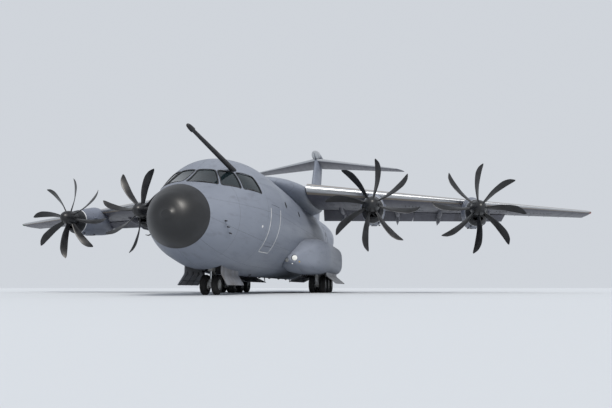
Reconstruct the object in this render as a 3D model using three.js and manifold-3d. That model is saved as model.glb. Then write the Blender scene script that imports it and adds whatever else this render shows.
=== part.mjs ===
// Military transport plane: high wing, T-tail, four eight-bladed propellers, rear loading ramp.
// It is a 1:2 scale model that stands on its landing gear, with the flaps part lowered.
// Every size below is in metres of the full-size aircraft: x to port, y aft of the nose tip, z above the ground.
// One outer group brings them to the millimetres of the model, with the nose towards -Y.

import * as THREE from 'three';
import { mergeVertices } from 'three/addons/utils/BufferGeometryUtils.js';
import Module from 'manifold-3d';

const wasm = await Module();
wasm.setup();

// Scale and clearances
const modelMillimetresPerMetre = 500;
const midStation = 21.57;
const seatGap = 0.0006;
const runningGap = 0.016;
const mergeTolerance = 1e-5;
const far = 30;

// Fuselage
const fuselageSides = 26;
const wallThickness = 0.22;
const floorTop = 1.95;
const flightDeckFloor = 3.3;
const radomeEnd = 0.95;
const flightDeckEnd = 6.7;
const forwardEnd = 12.6;
const centreEnd = 21.6;
const tailConeStart = 35.6;
const fuselageTable = [
  // station, half width, belly, crown
  [-0.12, 0.24, 2.8, 3.22],
  [0.0, 0.58, 2.45, 3.62],
  [0.38, 0.98, 2.08, 4.0],
  [radomeEnd, 1.31, 1.81, 4.34],
  [1.7, 1.62, 1.54, 4.68],
  [2.4, 1.89, 1.35, 5.08],
  [3.2, 2.12, 1.2, 5.62],
  [4.1, 2.39, 1.07, 6.08],
  [5.2, 2.62, 0.99, 6.36],
  [6.8, 2.78, 0.95, 6.55],
  [8.4, 2.82, 0.95, 6.59],
  [24.2, 2.82, 0.95, 6.59],
  [26.0, 2.8, 1.17, 6.59],
  [28.4, 2.72, 1.9, 6.58],
  [30.8, 2.5, 2.78, 6.57],
  [33.2, 2.12, 3.7, 6.55],
  [35.6, 1.66, 4.62, 6.52],
  [37.2, 1.17, 5.28, 6.44],
  [38.15, 0.78, 5.64, 6.28],
  [38.35, 0.62, 5.76, 6.18],
];

// Hold, doors and windows
const hollowTop = 5.2;
const holdStart = 6.9;
const holdEnd = 34.6;
const cockpitStart = 1.9;
const cockpitEnd = 6.4;
const windscreenBand = { front: 1.4, back: 4.7, sill: 4.5, head: 5.32, thickness: 0.05 };
const crewDoor = { front: 5.55, back: 6.6, sill: 2.25, head: 4.15, wall: 0.24, tabX: 2.12 };
const entryHall = { inner: 1.35, lead: 0.15, drop: 0.1, head: 4.3 };
const bulkheadHalf = 0.4;
const hallwayInner = -1.2;
const ramp = { front: 24.3, back: 29.7, halfWidth: 1.95, rearTop: 3.15 };
const rampEndSlope = 0.7;
const rampEndHeight = 2.2;
const cargoDoor = { front: 29.0, back: 34.4, frontHalf: 1.8, backHalf: 1.2, wall: 0.22, top: 4.95 };

// Hinge tabs: where they stand across, half width, height of the lower and the upper face
const rampTab = { x: 1.1, half: 0.15, low: 1.3, high: 1.4 };
const cargoDoorTab = { x: 1.05, half: 0.08, low: 4.46, high: 4.54 };
const tabLength = 0.1;

// Flight deck fittings, above the deck plate
const deckPlate = { half: 1.3, front: 2.6, back: 5.7, thickness: 0.06 };
const deckFittings = [
  // centre x, half width, front, back, bottom, top
  [0, 1.05, 2.6, 3.0, -0.01, 0.89],
  [0, 0.2, 2.9, 4.2, -0.01, 0.59],
];
const seatX = 0.62;
const seatTable = [
  // half width, front, back, bottom, top
  [0.18, 3.9, 4.3, -0.01, 0.26],
  [0.26, 3.75, 4.4, 0.24, 0.46],
  [0.25, 4.3, 4.45, 0.24, 1.36],
];

// Refuelling probe
const probe = { tipX: 1.05, tipY: -0.98, tipZ: 6.1, baseX: 1.32, baseY: 3.75, baseZ: 5.42 };
const probeRadii = { base: 0.12, neck: 0.07, nozzle: 0.1, tip: 0.05, neckShare: 0.09 };

// Wing
const wingRoot = 2.9;
const wingTip = 21.2;
const wingTable = [
  // span, leading edge, trailing edge, thickness ratio, chord plane height
  [wingRoot, 13.3, 20.9, 0.145, 6.28],
  [15.86, 17.68, 21.3, 0.12, 5.57],
  [20.75, 19.33, 21.74, 0.11, 5.3],
  [21.08, 19.5, 21.8, 0.09, 5.28],
  [wingTip, 19.85, 21.8, 0.05, 5.27],
];
const wingIncidence = 0.045;
const wingBox = { front: 13.6, back: 19.2, half: 2.0, floor: 5.85, crown: 6.7 };
const fairingTable = [
  // station, half width, bottom, top
  [10.2, 0.4, 6.3, 6.61],
  [11.2, 1.6, 6.0, 6.78],
  [12.6, 2.6, 5.5, 7.0],
  [14.6, 3.0, 5.3, 7.12],
  [19.4, 3.0, 5.3, 7.08],
  [21.4, 2.8, 5.5, 6.95],
  [23.2, 1.9, 5.9, 6.78],
  [24.8, 0.5, 6.3, 6.61],
];

// Flaps and ailerons
const flap = { inX: 3.2, inY: 19.2, inZ: 6.2, outX: 15.8, outY: 20.35, outZ: 5.52, drop: 0.5, split: 6.45 };
const flapRestAngle = THREE.MathUtils.degToRad(26);
const flapLowestAngle = THREE.MathUtils.degToRad(42);
const flapPivotRadius = 0.09;
const aileron = { inX: 16.12, outX: 20.35, chordShare: 0.68 };
const bracketShares = [0.15, 0.85];
const bracketHalf = 0.05;
const trackTable = [
  // span, front station, tail station, half width, depth
  [4.6, 15.9, 21.45, 0.2, 0.76],
  [8.4, 16.85, 21.55, 0.2, 0.74],
  [11.25, 17.7, 21.65, 0.18, 0.71],
  [14.4, 18.2, 21.75, 0.17, 0.69],
];

const trackRows = [
  // share of the length, share of the half width, bottom and top as shares of the depth
  [0.0, 0.05, 0.3, 0.1],
  [0.15, 0.75, 0.66, 0.02],
  [0.42, 1.0, 1.0, 0.0],
  [0.7, 0.9, 0.98, 0.0],
  [0.88, 0.5, 0.6, 0.02],
  [1.0, 0.06, 0.32, 0.2],
];

// Engines: hub of each propeller, lean of its blade tips and the turn of its first blade's root
const engineTable = [
  // name, x, y, z, lean, phase in degrees from +x towards +z
  ['port_outer', 13.02, 13.55, 4.9, 1, 44.7],
  ['port_inner', 6.96, 11.62, 4.97, -1, 31.4],
  ['starboard_inner', -6.96, 11.62, 4.97, 1, 38.5],
  ['starboard_outer', -13.02, 13.55, 4.9, -1, 34.6],
];
const nacelleTable = [
  // distance behind the propeller plane, half width, bottom, top
  [0.36, 0.46, -0.8, 0.48],
  [0.75, 0.62, -0.96, 0.6],
  [2.0, 0.7, -0.97, 0.92],
  [3.05, 0.65, -0.88, 1.12],
  [4.2, 0.46, -0.76, 0.86],
  [4.7, 0.33, -0.68, 0.2],
  [5.0, 0.26, -0.62, -0.1],
];
const nacelleWall = 0.08;
const nacelleFrontWall = 0.14;
const chinIntake = { half: 0.3, bottom: -0.68, top: -0.46 };
const exhaustRadius = 0.17;
const engineBlock = { front: 0.62, back: 3.7, radius: 0.36 };
const engineMounts = { half: 0.1, stations: [[1.0, 1.3], [2.2, 2.5]], bottom: 0.2, top: 1.2 };
const spinner = { nose: -0.78, back: 0.33, radius: 0.46 };
const propShaft = { radius: 0.1, end: 0.6194 };
const bladeCount = 8;
const bladeTable = [
  // radius, chord, pitch in degrees, lean of the section, thickness ratio
  [0.38, 0.26, 66, 0.0, 0.33],
  [1.2, 0.43, 53, -0.05, 0.12],
  [1.95, 0.47, 41, 0.03, 0.075],
  [2.42, 0.34, 36, 0.2, 0.065],
  [2.64, 0.08, 33, 0.38, 0.08],
];

// Landing gear
const mainGear = { x: 3.08, stations: [16.85, 18.5, 20.15], radius: 0.55, tyre: 0.39, twin: 0.36, rim: 0.28 };
const noseGear = { y: 4.9, radius: 0.46, tyre: 0.3, twin: 0.27, rim: 0.23, legSplit: 1.22, bayRoof: 2.5 };
const axleRadius = 0.07;
const mainBay = { front: 15.4, back: 20.95, inner: 2.2, outer: 3.86, roof: 2.75 };
const noseBay = { front: 3.75, back: 6.3, half: 0.85 };
const sponsonTable = [
  // station, inner x, outer x, bottom, top
  [11.0, 2.2, 2.5, 1.75, 2.05],
  [11.7, 1.7, 3.15, 1.42, 2.55],
  [13.0, 1.5, 3.85, 1.2, 3.1],
  [15.0, 1.4, 4.25, 1.15, 3.35],
  [21.2, 1.4, 4.25, 1.15, 3.35],
  [22.4, 1.5, 3.75, 1.35, 3.1],
  [23.4, 1.8, 3.0, 1.7, 2.5],
];
const sponsonSquareness = 0.62;
const doorPlate = 0.05;
const axleBoreSides = 16;
const legPlate = 0.2;
const mainLeg = { setBack: 0.25, topRadius: 0.12, kneeRadius: 0.1, kneeRise: 0.35, armGap: 0.06, plateHalf: 0.2 };
const mainArm = [
  // station from the axle, height from the axle
  [-0.38, 0.62],
  [-0.38, 0.2],
  [-0.05, -0.16],
  [0.16, -0.05],
  [0.12, 0.16],
  [-0.14, 0.62],
];
const noseLeg = { topRadius: 0.14, splitRadius: 0.12, plateHalf: 0.3, plate: 0.15, armGap: 0.045, eyeRadius: 0.15 };
const gearDoors = {
  // x and z from the bay's edge and the ground: lip inside the bay, bend, free edge
  mainOuter: [[0, 1.36], [0, 1.12], [0.6, 0.62]],
  mainInner: [[0, 1.36], [0, 1.12], [0.78, 0.74]],
  nose: [[0, 1.3], [0, 0.93], [0.3, 0.45]],
};

// Sides of the round pieces
const legSides = 14;
const hingeSides = 12;
const trackSides = 8;
const wingSides = 16;
const tailSides = 12;
const nacelleSides = 14;
const engineSides = 10;
const spinnerSides = 16;
const bladeSides = 6;
const sponsonSides = 20;
const fairingSides = 24;

// Tail
const finTable = [
  // height, leading edge, trailing edge, thickness ratio
  [6.2, 30.9, 38.2, 0.1],
  [7.4, 32.1, 38.7, 0.1],
  [13.8, 36.2, 41.1, 0.1],
];
const tailplaneHeight = 13.75;
const tailplaneTable = [
  // span, leading edge, trailing edge, thickness ratio
  [0.0, 36.2, 41.05, 0.11],
  [8.2, 42.1, 43.82, 0.1],
  [8.9, 43.0, 44.06, 0.09],
  [9.3, 43.8, 44.12, 0.08],
];
const bulletTable = [
  // station, radius
  [35.0, 0.05],
  [35.4, 0.25],
  [36.6, 0.46],
  [39.6, 0.46],
  [41.6, 0.28],
  [42.6, 0.05],
];
const bulletHeight = 14.24;
const finHead = 14.05;
const rudder = { share: 0.7, foot: 6.95, head: 13.2, tail: 0.25 };
const elevator = { share: 0.68, inX: 0.75, outX: 8.1, tail: 0.15 };
const noseSwell = 1.02;

// Paints and finishes, as the sub-parts' own materials
const finishes = {
  greyPaint: [0x7d828b, 0.45, 0.25],
  wingPaint: [0x6e737c, 0.45, 0.25],
  radomePaint: [0x24262b, 0.5, 0.0],
  propellerBlack: [0x17181a, 0.35, 0.1],
  nacelleGrey: [0x74797f, 0.4, 0.3],
  engineMetal: [0x8a8d90, 0.35, 0.8],
  tyreRubber: [0x1b1b1c, 0.85, 0.0],
  gearWhite: [0xc9ccce, 0.4, 0.2],
  windowGlass: [0x1d2a33, 0.08, 0.0],
  interiorGrey: [0x4a4d50, 0.7, 0.0],
};

const plane = new THREE.Group();
plane.scale.setScalar(modelMillimetresPerMetre);
plane.position.y = -midStation * modelMillimetresPerMetre;

// A closed mesh becomes a solid: corners are merged, and faces are turned to point out
function solid(geometry) {
  const bare = geometry.clone();
  bare.deleteAttribute('normal');
  bare.deleteAttribute('uv');
  const merged = mergeVertices(bare, mergeTolerance);
  const corners = Float32Array.from(merged.attributes.position.array);
  const faces = [];
  const all = merged.index.array;
  for (let i = 0; i < all.length; i += 3) {
    const [a, b, c] = [all[i], all[i + 1], all[i + 2]];
    if (a !== b && b !== c && c !== a) faces.push(a, b, c);
  }
  const triangles = Uint32Array.from(faces);
  if (signedVolume(corners, triangles) < 0) {
    for (let i = 0; i < triangles.length; i += 3) {
      [triangles[i], triangles[i + 1]] = [triangles[i + 1], triangles[i]];
    }
  }
  return new wasm.Manifold(new wasm.Mesh({ numProp: 3, vertProperties: corners, triVerts: triangles }));
}

function signedVolume(corners, triangles) {
  const [a, b, c] = [new THREE.Vector3(), new THREE.Vector3(), new THREE.Vector3()];
  let volume = 0;
  for (let i = 0; i < triangles.length; i += 3) {
    a.fromArray(corners, 3 * triangles[i]);
    b.fromArray(corners, 3 * triangles[i + 1]);
    c.fromArray(corners, 3 * triangles[i + 2]);
    volume += a.dot(b.cross(c)) / 6;
  }
  return volume;
}

// A sleeve of rows and sides, drawn out so that pointAt(row, angle) gives each of its corners
function loft(rows, sides, pointAt) {
  const sleeve = new THREE.CylinderGeometry(1, 1, 1, sides, rows - 1);
  const position = sleeve.attributes.position;
  for (let i = 0; i < position.count; i += 1) {
    const row = Math.round((0.5 - position.getY(i)) * (rows - 1));
    const reach = Math.hypot(position.getX(i), position.getZ(i));
    const angle = Math.atan2(position.getX(i), position.getZ(i));
    const point = reach > 0.5 ? pointAt(row, angle) : ringCentre(row, sides, pointAt);
    position.setXYZ(i, point.x, point.y, point.z);
  }
  return solid(sleeve);
}

function ringCentre(row, sides, pointAt) {
  const centre = new THREE.Vector3();
  for (let i = 0; i < sides; i += 1) centre.add(pointAt(row, (2 * Math.PI * i) / sides));
  return centre.divideScalar(sides);
}

function box(x0, x1, y0, y1, z0, z1) {
  const shape = new THREE.BoxGeometry(Math.abs(x1 - x0), y1 - y0, z1 - z0);
  return solid(shape.translate((x0 + x1) / 2, (y0 + y1) / 2, (z0 + z1) / 2));
}

// A round bar from one point to another, with a radius at each end
function bar(from, to, fromRadius, toRadius, sides = 14, firstCorner = 0) {
  const length = from.distanceTo(to);
  const shape = new THREE.CylinderGeometry(toRadius, fromRadius, length, sides, 1, false, firstCorner);
  const turn = new THREE.Quaternion().setFromUnitVectors(new THREE.Vector3(0, 1, 0), direction(from, to));
  shape.applyQuaternion(turn);
  const middle = from.clone().add(to).multiplyScalar(0.5);
  return solid(shape.translate(middle.x, middle.y, middle.z));
}

// A bore that a round bar of the given radius turns in: its flats lie one seat gap off the bar.
// It may be turned half a side, so that the bar's own corners face its flats.
function boreFor(from, to, fromRadius, toRadius, sides, turned = false) {
  const halfSide = Math.PI / sides;
  const spread = Math.cos(halfSide);
  const past = direction(from, to).multiplyScalar(2 * seatGap);
  const [start, end] = [from.clone().sub(past), to.clone().add(past)];
  const radii = [(fromRadius + seatGap) / spread, (toRadius + seatGap) / spread];
  return bar(start, end, ...radii, sides, turned ? halfSide : 0);
}

// A flat outline drawn out into a bar, its two directions and its length laid along the given axes
function drawn(outline, length, axes, start) {
  const shape = new THREE.Shape(outline.map(([u, v]) => new THREE.Vector2(u, v)));
  const geometry = new THREE.ExtrudeGeometry(shape, { depth: length, bevelEnabled: false });
  geometry.applyMatrix4(new THREE.Matrix4().makeBasis(...axes));
  return solid(geometry.translate(...start.toArray()));
}

// An outline of [x, z] points drawn out along y
function drawnOut(outline, y0, y1) {
  const axes = [vector(1, 0, 0), vector(0, 0, 1), vector(0, 1, 0)];
  return drawn(outline, y1 - y0, axes, vector(0, y0, 0));
}

// An outline of [y, z] points drawn out along x
function drawnAcross(outline, x0, x1) {
  const axes = [vector(0, 1, 0), vector(0, 0, 1), vector(1, 0, 0)];
  return drawn(outline, x1 - x0, axes, vector(x0, 0, 0));
}

function direction(from, to) {
  return to.clone().sub(from).normalize();
}

function vector(x, y, z) {
  return new THREE.Vector3(x, y, z);
}

function makeMesh(name, body, finish) {
  const { vertProperties, triVerts } = body.getMesh();
  const geometry = new THREE.BufferGeometry();
  geometry.setAttribute('position', new THREE.BufferAttribute(vertProperties, 3));
  geometry.setIndex(new THREE.BufferAttribute(triVerts, 1));
  geometry.computeVertexNormals();
  const [color, roughness, metalness] = finishes[finish];
  const mesh = new THREE.Mesh(geometry, new THREE.MeshStandardMaterial({ color, roughness, metalness }));
  mesh.name = name;
  return mesh;
}

function addNode(name, body, finish) {
  plane.add(makeMesh(name, body, finish));
}

// A mesh turned about a hinge line by its angle at rest
function addTurnedNode(name, body, finish, hingePoint, hingeAxis, angle) {
  const pivot = new THREE.Group();
  pivot.position.copy(hingePoint);
  pivot.quaternion.setFromAxisAngle(hingeAxis, angle);
  const mesh = makeMesh(name, body, finish);
  mesh.position.copy(hingePoint).negate();
  pivot.add(mesh);
  plane.add(pivot);
}

// Straight-line reading of a table's column at a value of its first column
function read(table, value, column) {
  let i = 1;
  while (i < table.length - 1 && table[i][0] < value) i += 1;
  const [low, high] = [table[i - 1], table[i]];
  const share = (value - low[0]) / (high[0] - low[0]);
  return low[column] + (high[column] - low[column]) * share;
}

// Oval tube body: rows of station, half width, bottom and top, all drawn in by an inset
function ovalBody(table, sides, centreX, inset) {
  return loft(table.length, sides, (row, angle) => {
    const [station, halfWidth, bottom, top] = table[row];
    const middle = (bottom + top) / 2;
    const x = centreX + Math.sin(angle) * (halfWidth - inset);
    const z = middle + Math.cos(angle) * ((top - bottom) / 2 - inset);
    return vector(x, station, z);
  });
}

function slab(y0, y1) {
  return box(-far, far, y0, y1, -far, far);
}

// Half thickness of a symmetrical section with a closed tail, per unit of chord
function sectionHalf(share, thickness) {
  const polynomial = -0.126 * share - 0.3516 * share ** 2 + 0.2843 * share ** 3 - 0.1036 * share ** 4;
  return 5 * thickness * (0.2969 * Math.sqrt(share) + polynomial);
}

// Wing-like body: rows of span, leading edge, trailing edge and thickness; place() stands it in space
function foil(table, sides, grow, place) {
  return loft(table.length, sides, (row, angle) => {
    const [span, lead, trail, thickness] = table[row];
    const chord = trail - lead;
    const share = (1 + Math.cos(angle)) / 2;
    const half = sectionHalf(share, thickness) * chord + grow * Math.abs(Math.sin(angle));
    const station = lead + share * chord + grow * Math.cos(angle);
    return place(span, station, Math.sign(Math.sin(angle)) * half, row, share, chord);
  });
}

const outerFuselage = ovalBody(fuselageTable, fuselageSides, 0, 0);
const grownFuselage = ovalBody(fuselageTable, fuselageSides, 0, -seatGap);
const innerFuselage = ovalBody(fuselageTable, fuselageSides, 0, wallThickness);

// Windscreen band: the part of the skin between sill and head, round the front of the flight deck
function windscreenZone(gap) {
  const { front, back, sill, head } = windscreenBand;
  const low = sill + gap;
  const high = head - gap;
  return box(-far, far, front, back - gap, low, high);
}

function buildRadome() {
  addNode('nose_radome', outerFuselage.intersect(slab(-1, radomeEnd - seatGap)), 'radomePaint');
}

function crewDoorZone(gap) {
  const { front, back, sill, head } = crewDoor;
  return box(1.2, far, front - gap, back + gap, sill - gap, head + gap);
}

function buildFlightDeck() {
  let shell = outerFuselage.intersect(slab(radomeEnd, flightDeckEnd - seatGap));
  const deckSpace = box(-far, far, cockpitStart, cockpitEnd, flightDeckFloor, far);
  shell = shell.subtract(innerFuselage.intersect(deckSpace));
  const { inner, lead, drop, head } = entryHall;
  const hall = box(inner, far, crewDoor.front - lead, flightDeckEnd + 1, crewDoor.sill - drop, head);
  shell = shell.subtract(innerFuselage.intersect(hall));
  const bulkheadFront = cockpitEnd - 0.1;
  const bulkheadBack = flightDeckEnd + 1;
  shell = shell.subtract(box(-bulkheadHalf, bulkheadHalf, bulkheadFront, bulkheadBack, flightDeckFloor, hollowTop));
  shell = shell.subtract(windscreenZone(0).subtract(slab(cockpitEnd, far)));
  const noseWell = box(-noseBay.half, noseBay.half, noseBay.front, noseBay.back, 0, noseGear.bayRoof);
  shell = shell.subtract(noseWell);
  shell = shell.subtract(crewDoorZone(runningGap));
  addNode('flight_deck_shell', shell, 'greyPaint');

  const { thickness } = windscreenBand;
  const glassInner = ovalBody(fuselageTable, fuselageSides, 0, thickness);
  const skin = outerFuselage.subtract(glassInner);
  addNode('windscreen', skin.intersect(windscreenZone(seatGap)), 'windowGlass');

  const doorInner = ovalBody(fuselageTable, fuselageSides, 0, crewDoor.wall);
  let door = outerFuselage.subtract(doorInner).intersect(crewDoorZone(0));
  const { tabX, sill } = crewDoor;
  for (const tab of [crewDoor.front + 0.2, crewDoor.back - 0.3]) {
    door = door.add(box(tabX - tabLength, tabX, tab, tab + tabLength, sill - runningGap + seatGap, sill + 0.05));
  }
  addNode('crew_door', door, 'greyPaint');
}

// Deck plate, instrument panel, centre pedestal and two seats, on one floor plate
function buildFlightDeckInterior() {
  const deck = flightDeckFloor + seatGap;
  const plateTop = deck + deckPlate.thickness;
  let inside = box(-deckPlate.half, deckPlate.half, deckPlate.front, deckPlate.back, deck, plateTop);
  const seats = [-seatX, seatX].flatMap((x) => seatTable.map((row) => [x, ...row]));
  for (const [x, half, front, back, bottom, top] of [...deckFittings, ...seats]) {
    inside = inside.add(box(x - half, x + half, front, back, plateTop + bottom, plateTop + top));
  }
  const room = ovalBody(fuselageTable, fuselageSides, 0, wallThickness + 0.03);
  addNode('flight_deck_interior', inside.intersect(room), 'interiorGrey');
}

function holdSpace(y0, y1) {
  return innerFuselage.intersect(box(-far, far, y0, y1, floorTop, far));
}

function wingBoxZone(gap) {
  const { front, back, half, floor } = wingBox;
  return box(-half - gap, half + gap, front - gap, back + gap, floor - gap, 8);
}

// Everything ahead of the slanted joint between the ramp and the aft door
function aheadOfRampEnd(gap) {
  const [low, high] = [-1, 8];
  const stationAt = (height) => ramp.back + gap - (height - rampEndHeight) * rampEndSlope;
  const outline = [[0, low], [stationAt(low), low], [stationAt(high), high], [0, high]];
  return drawnAcross(outline, -far, far);
}

function rampZone(gap) {
  const { front, back, halfWidth, rearTop } = ramp;
  const [low, beyond] = [-1, 40];
  const slope = (rearTop - floorTop) / (back - front);
  const topAt = (station) => floorTop + gap + (station - front) * slope;
  const outline = [[front - gap, low], [beyond, low], [beyond, topAt(beyond)], [front - gap, topAt(front)]];
  return drawnAcross(outline, -halfWidth - gap, halfWidth + gap).intersect(aheadOfRampEnd(gap));
}

function cargoDoorZone(gap) {
  const { front, back, frontHalf, backHalf, top } = cargoDoor;
  const shape = new THREE.Shape([
    new THREE.Vector2(-frontHalf - gap, front),
    new THREE.Vector2(frontHalf + gap, front),
    new THREE.Vector2(backHalf + gap, back + gap),
    new THREE.Vector2(-backHalf - gap, back + gap),
  ]);
  return solid(new THREE.ExtrudeGeometry(shape, { depth: top, bevelEnabled: false }));
}

function buildFuselage() {
  const sections = [
    ['fuselage_forward', flightDeckEnd, forwardEnd],
    ['fuselage_centre', forwardEnd, centreEnd],
    ['fuselage_aft', centreEnd, tailConeStart],
  ];
  const hold = holdSpace(holdStart, holdEnd);
  const hallway = box(hallwayInner, far, flightDeckEnd - 1, holdStart + 0.1, floorTop, hollowTop);
  for (const [name, start, end] of sections) {
    let shell = outerFuselage.intersect(slab(start, end - seatGap));
    shell = shell.subtract(hold);
    shell = shell.subtract(innerFuselage.intersect(hallway));
    if (name === 'fuselage_centre') shell = shell.subtract(wingBoxZone(seatGap));
    if (name === 'fuselage_aft') shell = shell.subtract(rampZone(runningGap)).subtract(cargoDoorZone(runningGap));
    addNode(name, shell, 'greyPaint');
  }
  addNode('tail_cone', outerFuselage.intersect(slab(tailConeStart, 60)), 'greyPaint');
  let rampBody = outerFuselage.intersect(rampZone(0));
  const tabFront = ramp.front - runningGap + seatGap;
  for (const x of [-rampTab.x, rampTab.x]) {
    const { half, low, high } = rampTab;
    rampBody = rampBody.add(box(x - half, x + half, tabFront, ramp.front + tabLength, low, high));
  }
  addNode('cargo_ramp', rampBody, 'greyPaint');
  const doorInner = ovalBody(fuselageTable, fuselageSides, 0, cargoDoor.wall);
  let door = outerFuselage.subtract(doorInner).intersect(cargoDoorZone(0));
  door = door.subtract(aheadOfRampEnd(1.3 * runningGap));
  const tabBack = cargoDoor.back + runningGap - seatGap;
  for (const x of [-cargoDoorTab.x, cargoDoorTab.x]) {
    const { half, low, high } = cargoDoorTab;
    door = door.add(box(x - half, x + half, cargoDoor.back - tabLength, tabBack, low, high));
  }
  addNode('cargo_door_aft', door, 'greyPaint');
}

// Probe: a tapered tube with a thicker nozzle, lying along a straight line from its root to its tip
function buildProbe() {
  const root = vector(probe.baseX, probe.baseY, probe.baseZ);
  const tip = vector(probe.tipX, probe.tipY, probe.tipZ);
  const { neckShare } = probeRadii;
  const neck = tip.clone().lerp(root, neckShare);
  let body = bar(root, neck, probeRadii.base, probeRadii.neck, hingeSides);
  const nozzleBack = tip.clone().lerp(root, neckShare + 0.01);
  body = body.add(bar(nozzleBack, tip, probeRadii.nozzle, probeRadii.tip, hingeSides));
  addNode('refuelling_probe', body.subtract(grownFuselage), 'greyPaint');
}

function wingPlace(side) {
  return (span, station, height, row, share, chord) => {
    const tilt = (0.25 - share) * chord * wingIncidence;
    return vector(side * span, station, wingTable[row][4] + height + tilt);
  };
}

function wingBody(side, grow) {
  return foil(wingTable, wingSides, grow, wingPlace(side));
}

function wingHeight(span) {
  return read(wingTable, span, 4);
}

// Streamlined fairing under the wing: deepest at the hinge, pointed at both ends
function trackFairing(side, [span, front, tail, halfWidth, depth]) {
  const centre = wingHeight(span);
  return loft(trackRows.length, trackSides, (row, angle) => {
    const [share, wide, deep, top] = trackRows[row];
    const x = side * span + Math.sin(angle) * wide * halfWidth;
    const bottom = centre - deep * depth;
    const crown = centre - top * depth;
    const z = (bottom + crown) / 2 + (Math.cos(angle) * (crown - bottom)) / 2;
    return vector(x, front + share * (tail - front), z);
  });
}

// A hinge line's frame: along it, square to it towards the tail, and square to both
function hingeFrame(from, to) {
  const along = direction(from, to);
  const aft = vector(0, 1, 0);
  aft.addScaledVector(along, -along.y).normalize();
  const across = new THREE.Vector3().crossVectors(along, aft);
  return new THREE.Matrix4().makeBasis(along, aft, across).setPosition(from);
}

function boxInFrame(frame, a0, a1, b0, b1, c0, c1) {
  const shape = new THREE.BoxGeometry(a1 - a0, b1 - b0, c1 - c0);
  shape.translate((a0 + a1) / 2, (b0 + b1) / 2, (c0 + c1) / 2);
  return solid(shape.applyMatrix4(frame));
}

function flapLine(side) {
  const from = vector(side * flap.inX, flap.inY, flap.inZ);
  const to = vector(side * flap.outX, flap.outY, flap.outZ);
  return [from, to];
}

// A control surface: what lies behind its hinge line, with a round nose that turns inside the fixed part.
// The pocket is wide, except at the brackets, which carry the nose.
function cutControl(body, from, to, fromRadius, toRadius, keep, keepGrown) {
  const frame = hingeFrame(from, to);
  const length = from.distanceTo(to);
  const reach = 3;
  const behind = boxInFrame(frame, 0, length, 0, reach, -1, 1).intersect(keep);
  const behindGrown = boxInFrame(frame, -runningGap, length + runningGap, 0, reach, -1, 1).intersect(keepGrown);
  const nose = bar(from, to, fromRadius, toRadius, hingeSides);
  const along = direction(from, to).multiplyScalar(runningGap);
  const grownFrom = from.clone().sub(along);
  const grownTo = to.clone().add(along);
  let pocket = bar(grownFrom, grownTo, fromRadius + 1.5 * runningGap, toRadius + 1.5 * runningGap, hingeSides);
  for (const share of bracketShares) {
    const middle = share * length;
    pocket = pocket.subtract(boxInFrame(frame, middle - bracketHalf, middle + bracketHalf, -1, 1, -1, 1));
  }
  pocket = pocket.add(boreFor(from, to, fromRadius, toRadius, 2 * hingeSides, true));
  const moving = body.intersect(behind.add(nose));
  const fixed = body.subtract(behindGrown).subtract(pocket);
  return [fixed, moving];
}

function controlEnd(side, span, share) {
  const lead = read(wingTable, span, 1);
  const trail = read(wingTable, span, 2);
  const chord = trail - lead;
  const height = wingHeight(span) + (0.25 - share) * chord * wingIncidence;
  const radius = noseSwell * sectionHalf(share, read(wingTable, span, 3)) * chord;
  return [vector(side * span, lead + share * chord, height), radius];
}

// The pivot of a flap in one track fairing: a short bar on the hinge line
function flapPivot(side, [span, , , halfWidth], hingePoint, hingeAxis) {
  const middle = hingePoint.clone().addScaledVector(hingeAxis, (side * span - hingePoint.x) / hingeAxis.x);
  const half = hingeAxis.clone().multiplyScalar(0.6 * halfWidth);
  return [middle.clone().sub(half), middle.clone().add(half)];
}

// The space ahead of the hinge that the foot of each moving fairing swings into when a flap is lowered
function flapSweep(frame, length, side) {
  const swung = new THREE.BoxGeometry(length + 1, 2, 2);
  swung.translate(length / 2, 1 - runningGap, side * -1);
  swung.rotateX(-side * flapLowestAngle);
  swung.translate(0, 0, -side * flap.drop);
  return solid(swung.applyMatrix4(frame));
}

function buildWing(side, name) {
  let body = wingBody(side, 0);
  for (const track of trackTable) body = body.add(trackFairing(side, track));
  body = body.intersect(box(side * (wingRoot + seatGap), side * far, 0, far, -far, far));

  const [from, to] = flapLine(side);
  const frame = hingeFrame(from, to);
  const length = from.distanceTo(to);
  const up = vector(0, 0, 1).applyMatrix4(new THREE.Matrix4().extractRotation(frame)).multiplyScalar(side);
  const hingePoint = from.clone().addScaledVector(up, -flap.drop);
  const hingeAxis = direction(from, to).multiplyScalar(side);
  const spans = [
    ['inner', 0, flap.split - runningGap],
    ['outer', flap.split + runningGap, length],
  ];
  for (const [place, start, end] of spans) {
    let piece = body.intersect(boxInFrame(frame, start, end, 0, 9, -far, far));
    for (const track of trackTable) {
      const [pivotFrom, pivotTo] = flapPivot(side, track, hingePoint, hingeAxis);
      const reach = Math.abs(pivotFrom.x) - flap.inX;
      if (reach > start && reach < end) {
        piece = piece.add(bar(pivotFrom, pivotTo, flapPivotRadius, flapPivotRadius, hingeSides));
      }
    }
    addTurnedNode(`flap_${name}_${place}`, piece, 'wingPaint', hingePoint, hingeAxis, -flapRestAngle);
  }
  body = body.subtract(boxInFrame(frame, -1, length + runningGap, -runningGap, 9, -far, far));
  body = body.subtract(flapSweep(frame, length, side));
  for (const track of trackTable) {
    const [pivotFrom, pivotTo] = flapPivot(side, track, hingePoint, hingeAxis);
    body = body.subtract(boreFor(pivotFrom, pivotTo, flapPivotRadius, flapPivotRadius, hingeSides));
  }

  const [aileronFrom, fromRadius] = controlEnd(side, aileron.inX, aileron.chordShare);
  const [aileronTo, toRadius] = controlEnd(side, aileron.outX, aileron.chordShare);
  const whole = slab(0, far);
  const [fixed, moving] = cutControl(body, aileronFrom, aileronTo, fromRadius, toRadius, whole, whole);
  addNode(`wing_${name}`, fixed, 'wingPaint');
  addNode(`aileron_${name}`, moving, 'wingPaint');
}

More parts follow.
